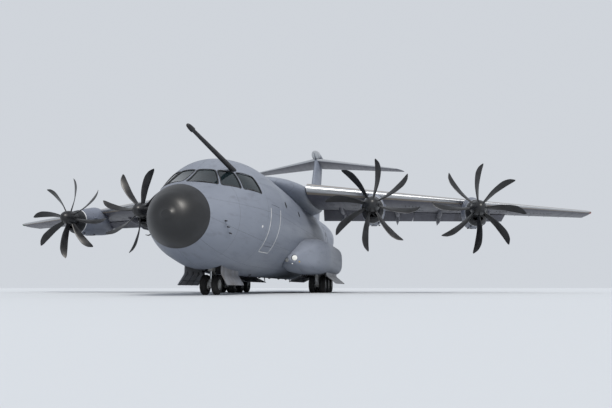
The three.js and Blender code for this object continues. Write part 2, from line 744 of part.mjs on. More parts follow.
function buildWingCentre() {
  let body = ovalBody(fairingTable, fairingSides, 0, 0);
  body = body.intersect(box(-wingRoot + seatGap, wingRoot - seatGap, 0, 60, -far, far));
  body = body.subtract(grownFuselage);
  const throughCrown = wingBoxZone(0).intersect(box(-far, far, 0, 60, 0, wingBox.crown));
  addNode('wing_centre', body.add(throughCrown), 'greyPaint');
}

function nacelleBody(hub, inset) {
  return loft(nacelleTable.length, nacelleSides, (row, angle) => {
    const [behind, halfWidth, bottom, top] = nacelleTable[row];
    const middle = (bottom + top) / 2;
    const x = hub.x + Math.sin(angle) * (halfWidth - inset);
    const z = hub.z + middle + Math.cos(angle) * ((top - bottom) / 2 - inset);
    return vector(x, hub.y + behind, z);
  });
}

function atHub(hub, y0, y1, x1, z0, z1) {
  return box(hub.x - x1, hub.x + x1, hub.y + y0, hub.y + y1, hub.z + z0, hub.z + z1);
}

function onHubAxis(hub, y0, y1, radius, drop = 0) {
  const from = vector(hub.x, hub.y + y0, hub.z - drop);
  const to = vector(hub.x, hub.y + y1, hub.z - drop);
  return bar(from, to, radius, radius, engineSides);
}

function buildEngine([name, x, y, z]) {
  const hub = vector(x, y, z);
  const lastRow = nacelleTable.length - 1;
  const [tail, , tailBottom, tailTop] = nacelleTable[lastRow];
  const frontWall = nacelleTable[0][0] + nacelleFrontWall;
  const cavityZone = atHub(hub, frontWall, tail - 0.1, 2, -3, 3);
  const wing = wingBody(Math.sign(x), seatGap);
  let shell = nacelleBody(hub, 0).subtract(nacelleBody(hub, nacelleWall).intersect(cavityZone));
  shell = shell.subtract(onHubAxis(hub, 0, frontWall + 0.1, propShaft.radius + 0.03));
  shell = shell.subtract(atHub(hub, 0, frontWall + 0.1, chinIntake.half, chinIntake.bottom, chinIntake.top));
  shell = shell.subtract(onHubAxis(hub, tail - 0.3, tail + 0.1, exhaustRadius, -(tailBottom + tailTop) / 2));
  addNode(`nacelle_${name}`, shell.subtract(wing), 'nacelleGrey');

  let engine = onHubAxis(hub, engineBlock.front, engineBlock.back, engineBlock.radius);
  for (const [start, end] of engineMounts.stations) {
    const { half, bottom, top } = engineMounts;
    engine = engine.add(atHub(hub, start, end, half, bottom, top));
  }
  const room = nacelleBody(hub, nacelleWall + seatGap).intersect(cavityZone);
  addNode(`engine_${name}`, engine.intersect(room).subtract(wing), 'engineMetal');
}

// One blade pointing up from the hub, its sections leaned, pitched and narrowed along its length
function bladeBody(lean) {
  return loft(bladeTable.length, bladeSides, (row, angle) => {
    const [radius, chord, pitchDegrees, leanOffset, thickness] = bladeTable[row];
    const pitch = THREE.MathUtils.degToRad(pitchDegrees);
    const share = (1 + Math.cos(angle)) / 2;
    const half = Math.sign(Math.sin(angle)) * sectionHalf(share, thickness) * chord;
    const along = (share - 0.4) * chord;
    const across = lean * (along * Math.cos(pitch) + half * Math.sin(pitch) + leanOffset);
    const aft = along * Math.sin(pitch) - half * Math.cos(pitch);
    return vector(across, aft, radius);
  });
}

function buildPropeller([name, x, y, z, lean, phase]) {
  const rings = [];
  const steps = 4;
  for (let i = 0; i <= steps; i += 1) {
    const turn = (Math.PI / 2) * (i / steps);
    rings.push(new THREE.Vector2(spinner.radius * Math.sin(turn), -spinner.nose * Math.cos(turn)));
  }
  rings.push(new THREE.Vector2(spinner.radius, -spinner.back));
  rings.push(new THREE.Vector2(propShaft.radius, -spinner.back));
  rings.push(new THREE.Vector2(propShaft.radius, -propShaft.end));
  rings.push(new THREE.Vector2(0, -propShaft.end));
  const cone = new THREE.LatheGeometry(rings, spinnerSides);
  cone.rotateX(Math.PI);
  let body = solid(cone);
  for (let i = 0; i < bladeCount; i += 1) {
    const azimuth = 90 - phase - (360 / bladeCount) * i;
    body = body.add(bladeBody(lean).rotate([0, azimuth, 0]));
  }
  addNode(`propeller_${name}`, body.translate([x, y, z]), 'propellerBlack');
}

// Twin wheels on one axle: a turned profile of [radius, x], run once along the axle
function twinWheels({ radius, tyre, twin, rim }, x, y) {
  const half = tyre / 2;
  const tyreProfile = (centre, outward) => [
    [rim * 0.55, centre - outward * half * 0.3],
    [rim, centre - outward * half * 0.9],
    [radius * 0.86, centre - outward * half],
    [radius, centre - outward * half * 0.5],
    [radius, centre + outward * half * 0.5],
    [radius * 0.86, centre + outward * half],
    [rim, centre + outward * half * 0.9],
  ];
  const points = [
    [0, -twin - half * 0.35],
    [rim * 0.8, -twin - half * 0.35],
    ...tyreProfile(-twin, -1).reverse(),
    [axleRadius, -twin + half * 0.3],
    [axleRadius, twin - half * 0.3],
    ...tyreProfile(twin, 1),
    [rim * 0.8, twin + half * 0.35],
    [0, twin + half * 0.35],
  ];
  const profile = points.map(([r, along]) => new THREE.Vector2(r, along));
  const turned = new THREE.LatheGeometry(profile, axleBoreSides);
  turned.rotateZ(-Math.PI / 2);
  return solid(turned.translate(x, y, radius));
}

function buildMainGear(side, name) {
  const { x, stations, radius, twin, tyre } = mainGear;
  const { setBack, topRadius, kneeRadius, kneeRise, armGap, plateHalf } = mainLeg;
  const legHalf = twin - tyre / 2 - armGap;
  const roof = mainBay.roof - seatGap;
  const [first, , last] = stations;
  const plateEnds = [side * (x - plateHalf), side * (x + plateHalf)];
  let legs = box(...plateEnds, first - 2 * legPlate, last + 2 * legPlate, roof - legPlate, roof);
  for (const station of stations) {
    const top = vector(side * x, station - setBack, roof - legPlate / 2);
    const knee = vector(side * x, station - setBack, radius + kneeRise);
    legs = legs.add(bar(top, knee, topRadius, kneeRadius, hingeSides));
    const outline = mainArm.map(([aft, up]) => [station + aft, radius + up]);
    const arm = drawnAcross(outline, side * x - legHalf, side * x + legHalf);
    const [left, right] = [vector(side * x - 1, station, radius), vector(side * x + 1, station, radius)];
    legs = legs.add(arm).subtract(boreFor(left, right, axleRadius, axleRadius, axleBoreSides));
  }
  addNode(`main_legs_${name}`, legs, 'gearWhite');
  const order = ['front', 'middle', 'rear'];
  stations.forEach((station, i) => {
    addNode(`main_wheels_${name}_${order[i]}`, twinWheels(mainGear, side * x, station), 'tyreRubber');
  });

  const { front, back, inner, outer } = mainBay;
  const outerDoor = doorBody(side, outer, 1, gearDoors.mainOuter, front, back);
  const innerDoor = doorBody(side, inner, -1, gearDoors.mainInner, front, back);
  addNode(`main_door_${name}_outer`, outerDoor, 'greyPaint');
  addNode(`main_door_${name}_inner`, innerDoor, 'greyPaint');
}

// A bent plate that hangs from a bay's edge and opens outward from the bay, thickened towards the bay.
// Its line has three points: x outward from the edge, and z.
function doorBody(side, bayEdge, outward, line, front, back) {
  const thin = outward * doorPlate;
  const [top, bend, edge] = line.map(([out, z]) => [bayEdge + outward * (out - seatGap), z]);
  const outline = [top, bend, edge, [edge[0] - thin * 0.7, edge[1] - doorPlate * 0.7]];
  outline.push([bend[0] - thin, bend[1] - doorPlate * 0.5], [top[0] - thin, top[1]]);
  const sided = outline.map(([x, z]) => [side * x, z]);
  return drawnOut(sided, front + doorPlate, back - doorPlate);
}

function buildSponson(side, name) {
  const { front, back, inner, outer, roof } = mainBay;
  let body = loft(sponsonTable.length, sponsonSides, (row, angle) => {
    const [station, innerX, outerX, bottom, top] = sponsonTable[row];
    const rounded = (value) => Math.sign(value) * Math.abs(value) ** sponsonSquareness;
    const x = (innerX + outerX) / 2 + (rounded(Math.sin(angle)) * (outerX - innerX)) / 2;
    const z = (bottom + top) / 2 + (rounded(Math.cos(angle)) * (top - bottom)) / 2;
    return vector(side * x, station, z);
  });
  body = body.subtract(grownFuselage);
  body = body.subtract(box(side * inner, side * outer, front, back, 0, roof));
  addNode(`sponson_${name}`, body, 'greyPaint');
}

function buildNoseGear() {
  const { y, radius, twin, tyre, legSplit, bayRoof } = noseGear;
  const { topRadius, splitRadius, plateHalf, plate, armGap, eyeRadius } = noseLeg;
  const top = vector(0, y, bayRoof - seatGap);
  let fixed = bar(top, vector(0, y, legSplit), topRadius, splitRadius, legSides);
  fixed = fixed.add(box(-plateHalf, plateHalf, y - plateHalf, y + plateHalf, bayRoof - plate, bayRoof - seatGap));
  addNode('nose_leg_fixed', fixed, 'gearWhite');

  const legHalf = twin - tyre / 2 - armGap;
  let fork = bar(vector(0, y, legSplit - seatGap), vector(0, y, radius), splitRadius, legHalf, legSides);
  const [left, right] = [vector(-legHalf, y, radius), vector(legHalf, y, radius)];
  fork = fork.add(bar(left, right, eyeRadius, eyeRadius, legSides));
  fork = fork.subtract(boreFor(vector(-1, y, radius), vector(1, y, radius), axleRadius, axleRadius, axleBoreSides));
  addNode('nose_leg_steered', fork, 'gearWhite');
  addNode('nose_wheels', twinWheels(noseGear, 0, y), 'tyreRubber');

  for (const [side, name] of [[1, 'port'], [-1, 'starboard']]) {
    const { front, back, half } = noseBay;
    addNode(`nose_door_${name}`, doorBody(side, half, 1, gearDoors.nose, front, back), 'greyPaint');
  }
}

function finPlace(span, station, height) {
  return vector(height, station, span);
}

function tailplaneRows() {
  const outward = tailplaneTable.slice(1).reverse().map(([span, ...rest]) => [-span, ...rest]);
  return [...outward, ...tailplaneTable];
}

function bulletBody(grow) {
  return loft(bulletTable.length, tailSides, (row, angle) => {
    const [station, radius] = bulletTable[row];
    const reach = radius + grow;
    return vector(Math.sin(angle) * reach, station, bulletHeight + Math.cos(angle) * reach);
  });
}

function tailplaneBody(grow) {
  const place = (span, station, height) => vector(span, station, tailplaneHeight + height);
  return foil(tailplaneRows(), tailSides, grow, place).add(bulletBody(grow));
}

function buildTail() {
  let fin = foil(finTable, tailSides, 0, finPlace).subtract(grownFuselage).subtract(tailplaneBody(seatGap));
  fin = fin.intersect(box(-far, far, 0, 60, 0, finHead)).decompose()[0];
  const finEnd = (height) => {
    const lead = read(finTable, height, 1);
    const chord = read(finTable, height, 2) - lead;
    const radius = noseSwell * sectionHalf(rudder.share, read(finTable, height, 3)) * chord;
    return [vector(0, lead + rudder.share * chord, height), radius];
  };
  const [foot, footRadius] = finEnd(rudder.foot);
  const [head, headRadius] = finEnd(rudder.head);
  const rudderSpace = (gap) => box(-far, far, 0, 60, rudder.foot - rudder.tail - gap, rudder.head + gap);
  const spaces = [rudderSpace(0), rudderSpace(runningGap)];
  const [fixedFin, movingRudder] = cutControl(fin, foot, head, footRadius, headRadius, ...spaces);
  addNode('fin', fixedFin, 'greyPaint');
  addNode('rudder', movingRudder, 'greyPaint');

  let tailplane = tailplaneBody(0);
  for (const [side, name] of [[1, 'port'], [-1, 'starboard']]) {
    const elevatorEnd = (span) => {
      const lead = read(tailplaneTable, span, 1);
      const chord = read(tailplaneTable, span, 2) - lead;
      const radius = noseSwell * sectionHalf(elevator.share, read(tailplaneTable, span, 3)) * chord;
      return [vector(side * span, lead + elevator.share * chord, tailplaneHeight), radius];
    };
    const [inner, innerRadius] = elevatorEnd(elevator.inX);
    const [outer, outerRadius] = elevatorEnd(elevator.outX);
    const space = (gap) => box(side * (elevator.inX - elevator.tail - gap), side * far, 0, 60, 0, 20);
    const ends = [innerRadius, outerRadius, space(0), space(runningGap)];
    const [fixed, moving] = cutControl(tailplane, inner, outer, ...ends);
    tailplane = fixed;
    addNode(`elevator_${name}`, moving, 'wingPaint');
  }
  addNode('tailplane', tailplane, 'wingPaint');
}

buildRadome();
buildFlightDeck();
buildFlightDeckInterior();
buildFuselage();
buildProbe();
buildWingCentre();
for (const [side, name] of [[1, 'port'], [-1, 'starboard']]) {
  buildWing(side, name);
  buildSponson(side, name);
  buildMainGear(side, name);
}
for (const engine of engineTable) {
  buildEngine(engine);
  buildPropeller(engine);
}
buildNoseGear();
buildTail();

export default plane;
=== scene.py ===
import math

import bmesh
import bpy
import numpy as np
from mathutils import Matrix, Vector


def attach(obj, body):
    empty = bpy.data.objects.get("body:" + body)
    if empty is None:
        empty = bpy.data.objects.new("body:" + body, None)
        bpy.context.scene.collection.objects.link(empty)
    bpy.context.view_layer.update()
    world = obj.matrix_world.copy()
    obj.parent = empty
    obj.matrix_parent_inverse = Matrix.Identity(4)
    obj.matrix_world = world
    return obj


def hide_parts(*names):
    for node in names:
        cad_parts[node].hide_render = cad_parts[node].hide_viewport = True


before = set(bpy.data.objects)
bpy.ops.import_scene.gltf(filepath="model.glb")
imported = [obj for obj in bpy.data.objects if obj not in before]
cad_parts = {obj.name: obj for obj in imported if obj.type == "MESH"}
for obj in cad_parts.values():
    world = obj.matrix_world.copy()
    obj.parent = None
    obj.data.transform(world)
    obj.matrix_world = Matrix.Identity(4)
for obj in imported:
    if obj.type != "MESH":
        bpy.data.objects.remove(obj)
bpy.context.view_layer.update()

# Looks of the military transport plane. Lengths are metres of the full-size aircraft:
# x to port, y aft of the nose tip, z above the ground. toModel brings them to the 1:2 model.
scene = bpy.context.scene
model = {"scale": 0.5, "midStation": 21.57}
far = 30.0  # farther than any part of the aircraft reaches
turn = 2 * math.pi
sides = {"port": 1, "starboard": -1}
finishSlots = 4


def toModel(points):
    return (np.asarray(points, float) - (0, model["midStation"], 0)) * model["scale"]


# Camera at floor level ahead of the nose, a little to port, looking up as the photograph does
viewer = {"azimuth": 11.8, "distance": 20.5, "height": 0.16, "aim": (1.0, -1.5, 3.1), "lens": 31.6}


def placeCamera():
    camera = bpy.data.objects.new("viewer", bpy.data.cameras.new("viewer"))
    scene.collection.objects.link(camera)
    angle = math.radians(viewer["azimuth"])
    spot = Vector((math.sin(angle), -math.cos(angle), 0)) * viewer["distance"]
    camera.location = spot + Vector((0, 0, viewer["height"]))
    aim = Vector(viewer["aim"]) - camera.location
    camera.rotation_euler = aim.to_track_quat("-Z", "Y").to_euler()
    camera.data.sensor_width = 36.0
    camera.data.lens = viewer["lens"]
    camera.data.clip_end = 600.0
    scene.camera = camera


placeCamera()

# Mesh making


def bodyOf(points, faces, finish=0):
    # corners and faces become a mesh; where its signed volume is negative it is turned inside out.
    # finish is the number of the faces' material, one for all or one each
    mesh = bpy.data.meshes.new("body")
    mesh.from_pydata(toModel(points), [], faces)
    count = len(mesh.polygons)
    for _ in range(finishSlots):
        mesh.materials.append(None)
    mesh.polygons.foreach_set("material_index", np.broadcast_to(np.asarray(finish, np.int32), count).copy())
    centre, normal, area = np.empty(3 * count), np.empty(3 * count), np.empty(count)
    mesh.polygons.foreach_get("center", centre)
    mesh.polygons.foreach_get("normal", normal)
    mesh.polygons.foreach_get("area", area)
    if np.sum(area * np.sum((centre * normal).reshape(-1, 3), 1)) < 0:
        mesh.flip_normals()
    return mesh


def sleeve(rows, ringed=False, finish=0):
    # rows of points carried along a path: each quad joins two neighbours of one row with the next row's.
    # The two ends are closed with a flat face, or the last row joins the first.
    count, across = rows.shape[:2]
    place = np.arange(count * across).reshape(count, across)
    if ringed:
        place = np.vstack([place, place[:1]])
    near, beyond = place[:-1], place[1:]
    quads = np.stack([near, np.roll(near, -1, 1), np.roll(beyond, -1, 1), beyond], -1)
    faces = quads.reshape(-1, 4).tolist()
    if not ringed:
        faces += [place[0][::-1].tolist(), place[-1].tolist()]
    if np.ndim(finish):
        ends = np.zeros(len(faces) - quads.size // 4, int)
        finish = np.append(np.broadcast_to(finish, quads.shape[:2]).ravel(), ends)
    return bodyOf(rows.reshape(-1, 3), faces, finish)


def lined(mesh, finish=1):
    # gives every face of a body one finish, which it leaves on what it cuts
    mesh.polygons.foreach_set("material_index", np.full(len(mesh.polygons), finish, np.int32))
    return mesh


def ring(count):
    return np.linspace(0, turn, count, endpoint=False)


def unit(vectors):
    return vectors / np.linalg.norm(vectors, axis=-1, keepdims=True)


def rounding(distance, reach, least=0.0):
    # 1 where the distance is 0 or less, then down along a quarter circle to the least at the reach
    return np.sqrt(np.clip(1 - (np.maximum(distance, 0) / reach) ** 2, least, 1))


def squared(value, power):
    # a sine or cosine raised to a power below one, with its sign kept, makes an oval squarer
    return np.sign(value) * np.abs(value) ** power


def pipe(path, radius, count=14, up=(0.31, 0.17, 1.0)):
    # a circle carried along a path: path + radius (cos a . across + sin a . raised)
    path = np.asarray(path, float)
    radius = np.broadcast_to(np.asarray(radius, float), len(path))
    tangent = unit(np.gradient(path, axis=0))
    across = unit(np.cross(tangent, up))
    raised = np.cross(across, tangent)
    angle = ring(count)[None, :, None]
    rows = np.cos(angle) * across[:, None] + np.sin(angle) * raised[:, None]
    return sleeve(path[:, None] + radius[:, None, None] * rows)


def turned(profile, origin, axis=(0, 1, 0), count=48, ringed=False, swell=None):
    # a profile of radius and reach turned about an axis:
    # origin + reach . axis + radius (cos a . across + sin a . raised)
    profile = np.asarray(profile, float)
    axis = unit(np.asarray(axis, float))
    across = unit(np.cross(axis, (0.0, 0.0, 1.0) if abs(axis[2]) < 0.9 else (1.0, 0.0, 0.0)))
    raised = np.cross(axis, across)
    angle = ring(count)[None, :, None]
    radius = np.maximum(profile[:, 0], 1e-3)[:, None, None]
    reach = profile[:, 1][:, None, None] + np.zeros_like(angle)
    if swell is not None:
        radius, reach = swell(radius + 0 * angle, reach, angle)
    rows = np.asarray(origin) + reach * axis + radius * (np.cos(angle) * across + np.sin(angle) * raised)
    return sleeve(rows, ringed)


def block(x0, x1, y0, y1, z0, z1, place=None):
    # the eight corners of a box, stood in a frame of four columns where one is given
    (x0, x1), (y0, y1), (z0, z1) = sorted((x0, x1)), sorted((y0, y1)), sorted((z0, z1))
    rows = np.array([[(x0, y0, z), (x1, y0, z), (x1, y1, z), (x0, y1, z)] for z in (z0, z1)], float)
    if place is not None:
        rows = rows @ place[:3, :3].T + place[:3, 3]
    return sleeve(rows)


def blockAbout(x, half, y0, y1, z0, z1):
    # a box that reaches the same way to both sides of x
    return block(x - half, x + half, y0, y1, z0, z1)


def drawn(outline, start, end, axes):
    # a flat outline drawn from one place to another along the third axis
    outline = np.asarray(outline, float)
    first, second, third = (np.asarray(axis, float) for axis in axes)
    flat = outline[:, :1] * first + outline[:, 1:] * second
    return sleeve(np.stack([flat + start * third, flat + end * third]))


def drawnAlong(outline, y0, y1):
    return drawn(outline, y0, y1, [(1, 0, 0), (0, 0, 1), (0, 1, 0)])


def drawnAcross(outline, x0, x1):
    return drawn(outline, x0, x1, [(0, 1, 0), (0, 0, 1), (1, 0, 0)])


def roundedOutline(u0, u1, v0, v1, radius, steps=6):
    # quarter circles at the four corners of a rectangle
    angle = np.linspace(0, math.pi / 2, steps)
    corners = [(u1, v1, 0), (u0, v1, 1), (u0, v0, 2), (u1, v0, 3)]
    inward = np.array([[-1, -1], [1, -1], [1, 1], [-1, 1]])
    parts = []
    for (u, v, quarter), (du, dv) in zip(corners, inward):
        arc = angle + quarter * math.pi / 2
        parts.append(np.column_stack([u + radius * (du + np.cos(arc)), v + radius * (dv + np.sin(arc))]))
    return np.vstack(parts)


def combine(base, tools, how):
    # one body joined to, cut by or kept within others, one after the other
    for tool in tools:
        pair = [bpy.data.objects.new("shape", base), bpy.data.objects.new("tool", tool)]
        for item in pair:
            scene.collection.objects.link(item)
        cutter = pair[0].modifiers.new("combine", "BOOLEAN")
        cutter.operation, cutter.solver, cutter.object = how, "MANIFOLD", pair[1]
        cutter.material_mode = "INDEX"
        base = bpy.data.meshes.new_from_object(pair[0].evaluated_get(bpy.context.evaluated_depsgraph_get()))
        for item in pair:
            bpy.data.objects.remove(item)
        if len(base.polygons) == 0:
            print("empty result:", how)
    return base


def add(base, *others):
    return combine(base, others, "UNION")


def cut(base, *others):
    return combine(base, others, "DIFFERENCE")


def keep(base, *others):
    return combine(base, others, "INTERSECT")


def together(meshes):
    # several closed bodies in one mesh
    gathered = bmesh.new()
    for mesh in meshes:
        gathered.from_mesh(mesh)
    joined = bpy.data.meshes.new("joined")
    gathered.to_mesh(joined)
    gathered.free()
    for _ in range(finishSlots):
        joined.materials.append(None)
    return joined


def turnAbout(mesh, point, axis, angle):
    pivot = Vector(toModel(point))
    spin = Matrix.Rotation(angle, 4, Vector(axis))
    mesh.transform(Matrix.Translation(pivot) @ spin @ Matrix.Translation(-pivot))
    return mesh


def addPiece(name, parts, finishes, nodes=(), body="airframe", sharp=32.0, bevel=0.0):
    # one mesh or a list of them; finishes are the materials of the finish numbers that the faces carry
    mesh = together(parts) if isinstance(parts, list) else parts
    piece = bpy.data.objects.new(name, mesh)
    scene.collection.objects.link(piece)
    kept = np.empty(len(mesh.polygons), np.int32)
    mesh.polygons.foreach_get("material_index", kept)
    mesh.materials.clear()
    for key in [finishes] if isinstance(finishes, str) else finishes:
        mesh.materials.append(materials[key])
    mesh.polygons.foreach_set("material_index", np.minimum(kept, len(mesh.materials) - 1))
    mesh.shade_smooth()
    mesh.set_sharp_from_angle(angle=math.radians(sharp))
    if bevel:
        edge = piece.modifiers.new("edge", "BEVEL")
        edge.width, edge.segments, edge.limit_method = bevel, 2, "ANGLE"
        edge.angle_limit = math.radians(sharp)
        edge.harden_normals = True
    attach(piece, body)
    if nodes:
        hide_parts(*nodes)


def straightRead(table, at):
    # each column of a table, along straight lines between its rows
    table = np.asarray(table, float)
    return [np.interp(at, table[:, 0], column) for column in table[:, 1:].T]


def smoothRead(table, at):
    # cubic curves through a table's rows, level where the rows turn back, so that nothing overshoots
    table = np.asarray(table, float)
    start, value = table[:, 0], table[:, 1:]
    step = np.diff(start)[:, None]
    rise = np.diff(value, axis=0) / step
    before, after = 2 * step[1:] + step[:-1], step[1:] + 2 * step[:-1]
    level = rise[:-1] * rise[1:] <= 0
    safe = [np.where(level, 1.0, part) for part in (rise[:-1], rise[1:])]
    slope = np.zeros_like(value)
    slope[1:-1] = np.where(level, 0.0, (before + after) / (before / safe[0] + after / safe[1]))
    slope[0], slope[-1] = rise[0], rise[-1]
    i = np.clip(np.searchsorted(start, at, "right") - 1, 0, len(start) - 2)
    span = step[i]
    s = ((at - start[i]) / span[:, 0])[:, None]
    return (
        (1 + 2 * s) * (1 - s) ** 2 * value[i]
        + s * (1 - s) ** 2 * span * slope[i]
        + s**2 * (3 - 2 * s) * value[i + 1]
        + s**2 * (s - 1) * span * slope[i + 1]
    )


# Materials


class Wire:
    # one number on its way through a material's nodes, so that a pattern is written as plain sums
    def __init__(self, tree, out):
        self.tree, self.out = tree, out

    def through(self, kind, *others):
        node = self.tree.nodes.new("ShaderNodeMath")
        node.operation = kind
        for place, value in enumerate((self, *others)):
            if isinstance(value, Wire):
                self.tree.links.new(value.out, node.inputs[place])
            else:
                node.inputs[place].default_value = value
        return Wire(self.tree, node.outputs[0])

    def __add__(self, other):
        return self.through("ADD", other)

    def __sub__(self, other):
        return self.through("SUBTRACT", other)

    def __mul__(self, other):
        return self.through("MULTIPLY", other)

    def __truediv__(self, other):
        return self.through("DIVIDE", other)

    def size(self):
        return self.through("ABSOLUTE")

    def most(self, other):
        return self.through("MAXIMUM", other)

    def turnedOver(self):
        return self * -1.0 + 1.0

    def over(self, low, high):
        # 0 below low, 1 above high, with a soft change between them
        node = self.tree.nodes.new("ShaderNodeMapRange")
        node.interpolation_type = "SMOOTHSTEP"
        self.tree.links.new(self.out, node.inputs["Value"])
        node.inputs["From Min"].default_value = low
        node.inputs["From Max"].default_value = high
        return Wire(self.tree, node.outputs["Result"])

    def linesEvery(self, spacing, width):
        # 1 on lines that lie a spacing apart, 0 between them
        nearest = self.through("PINGPONG", spacing / 2)
        return nearest.over(width * 0.35, width * 0.65).turnedOver()


class Paint:
    # a node material that reads Object coordinates, in metres of the model
    def __init__(self, name, roughness=0.5, metallic=0.0, **sockets):
        self.material = bpy.data.materials.new(name)
        self.material.use_nodes = True
        self.tree = self.material.node_tree
        self.shader = self.tree.nodes["Principled BSDF"]
        self.shader.inputs["Roughness"].default_value = roughness
        self.shader.inputs["Metallic"].default_value = metallic
        for socket, value in sockets.items():
            self.shader.inputs[socket.replace("_", " ")].default_value = value
        self.coords = self.tree.nodes.new("ShaderNodeTexCoord").outputs["Object"]
        split = self.tree.nodes.new("ShaderNodeSeparateXYZ")
        self.tree.links.new(self.coords, split.inputs[0])
        self.x, self.y, self.z = (Wire(self.tree, out) for out in split.outputs)

    def noise(self, scale, detail=4.0, stretch=(1, 1, 1), roughness=0.55):
        place = self.tree.nodes.new("ShaderNodeMapping")
        place.inputs["Scale"].default_value = stretch
        self.tree.links.new(self.coords, place.inputs["Vector"])
        node = self.tree.nodes.new("ShaderNodeTexNoise")
        node.inputs["Scale"].default_value = scale
        node.inputs["Detail"].default_value = detail
        node.inputs["Roughness"].default_value = roughness
        self.tree.links.new(place.outputs[0], node.inputs["Vector"])
        return Wire(self.tree, node.outputs["Fac"])

    def angleRound(self, height, centreX):
        # degrees round a lengthwise axis on each side, 0 at the top and growing outwards
        return (self.x.size() - centreX).through("ARCTAN2", self.z - height) * math.degrees(1.0)

    def blend(self, share, first, second):
        node = self.tree.nodes.new("ShaderNodeMix")
        node.data_type = "RGBA"
        self.tree.links.new(share.out, node.inputs["Factor"])
        for socket, value in ((node.inputs[6], first), (node.inputs[7], second)):
            if isinstance(value, tuple):
                socket.default_value = (*value, 1.0)
            else:
                self.tree.links.new(value, socket)
        return node.outputs[2]

    def finish(self, colour, roughness=None, height=None, bump=0.3, reach=0.01):
        self.tree.links.new(colour, self.shader.inputs["Base Color"])
        if roughness is not None:
            self.tree.links.new(roughness.out, self.shader.inputs["Roughness"])
        if height is not None:
            node = self.tree.nodes.new("ShaderNodeBump")
            node.inputs["Strength"].default_value = bump
            node.inputs["Distance"].default_value = reach
            self.tree.links.new(height.out, node.inputs["Height"])
            self.tree.links.new(node.outputs[0], self.shader.inputs["Normal"])
        return self.material


def tone(code):
    # a colour as it looks on a screen, from its six-digit code
    parts = np.array([int(code[i : i + 2], 16) for i in (0, 2, 4)]) / 255
    light = np.where(parts <= 0.04045, parts / 12.92, ((parts + 0.055) / 1.055) ** 2.4)
    return tuple(float(value) for value in light)


rivetLook = {"spacing": 0.03, "width": 0.006, "offset": 0.022, "soft": (0.002, 0.005)}


def rivetRows(along, across, seamSpacing):
    # small heads in a row on each side of every seam
    beside = across.through("PINGPONG", seamSpacing / 2) - rivetLook["offset"]
    near = beside.size().over(*rivetLook["soft"]).turnedOver()
    return along.linesEvery(rivetLook["spacing"], rivetLook["width"]) * near


skinLook = {
    "base": "6d7380", "faded": "7a808c", "grime": "4b4b52", "line": "303238",
    "ringSpacing": 1.18, "lineWidth": 0.0055, "angleSpacing": 30.0,
    # radius of the hull, and height and distance to the side of the axis that its long seams lie round
    "radius": 1.4, "axisHeight": 1.885, "axisX": 0.0,
}
sponsonLook = {**skinLook, "ringSpacing": 1.3, "angleSpacing": 45.0, "axisHeight": 1.1, "axisX": 1.4}
finLook = {**skinLook, "ringSpacing": 0.8, "seamSpacing": 0.9}


def greySkin(name, look, seamsBy="angle", extra=None):
    # service grey: large soft patches, streaks that run aft, seams with rivets, grime along the seams
    paint = Paint(name, roughness=0.45, Specular_IOR_Level=0.4)
    patches = paint.noise(0.55, 5.0, (1, 0.5, 1))
    streaks = paint.noise(2.2, 6.0, (3.2, 0.22, 3.2), 0.6)
    speck = paint.noise(90.0, 3.0)
    if seamsBy == "angle":
        around = paint.angleRound(look["axisHeight"], look["axisX"])
        width = look["lineWidth"] / look["radius"] * math.degrees(1.0)
        seams = around.linesEvery(look["angleSpacing"], width)
        along = around * (look["radius"] / math.degrees(1.0))
    else:
        along = paint.z
        seams = along.linesEvery(look["seamSpacing"], look["lineWidth"])
    lines = paint.y.linesEvery(look["ringSpacing"], look["lineWidth"]).most(seams)
    rivets = rivetRows(along, paint.y, look["ringSpacing"])
    colour = paint.blend(patches.over(0.35, 0.68), tone(look["base"]), tone(look["faded"]))
    grimeShare = (streaks.over(0.5, 0.78) * 0.32).most(lines * 0.62)
    colour = paint.blend(grimeShare, colour, tone(look["grime"]))
    colour = paint.blend(lines * 0.55, colour, tone(look["line"]))
    if extra is not None:
        colour = extra(paint, colour)
    rough = (streaks * 0.22 + 0.34) + speck * 0.06
    return paint.finish(colour, rough, speck * 0.06 - lines + rivets * 0.35, bump=0.35, reach=0.004)


def plainFinish(name, base, worn, roughness, metallic=0.0, scale=6.0, grain=60.0, bump=0.25, **sockets):
    # two tones by a soft noise, with a fine grain in the bump and the roughness
    paint = Paint(name, roughness=roughness, metallic=metallic, **sockets)
    patches = paint.noise(scale, 5.0)
    speck = paint.noise(grain, 3.0)
    colour = paint.blend(patches.over(0.38, 0.7), tone(base), tone(worn))
    rough = patches * 0.2 + (roughness - 0.1)
    return paint.finish(colour, rough, speck + patches * 0.5, bump=bump, reach=0.003)


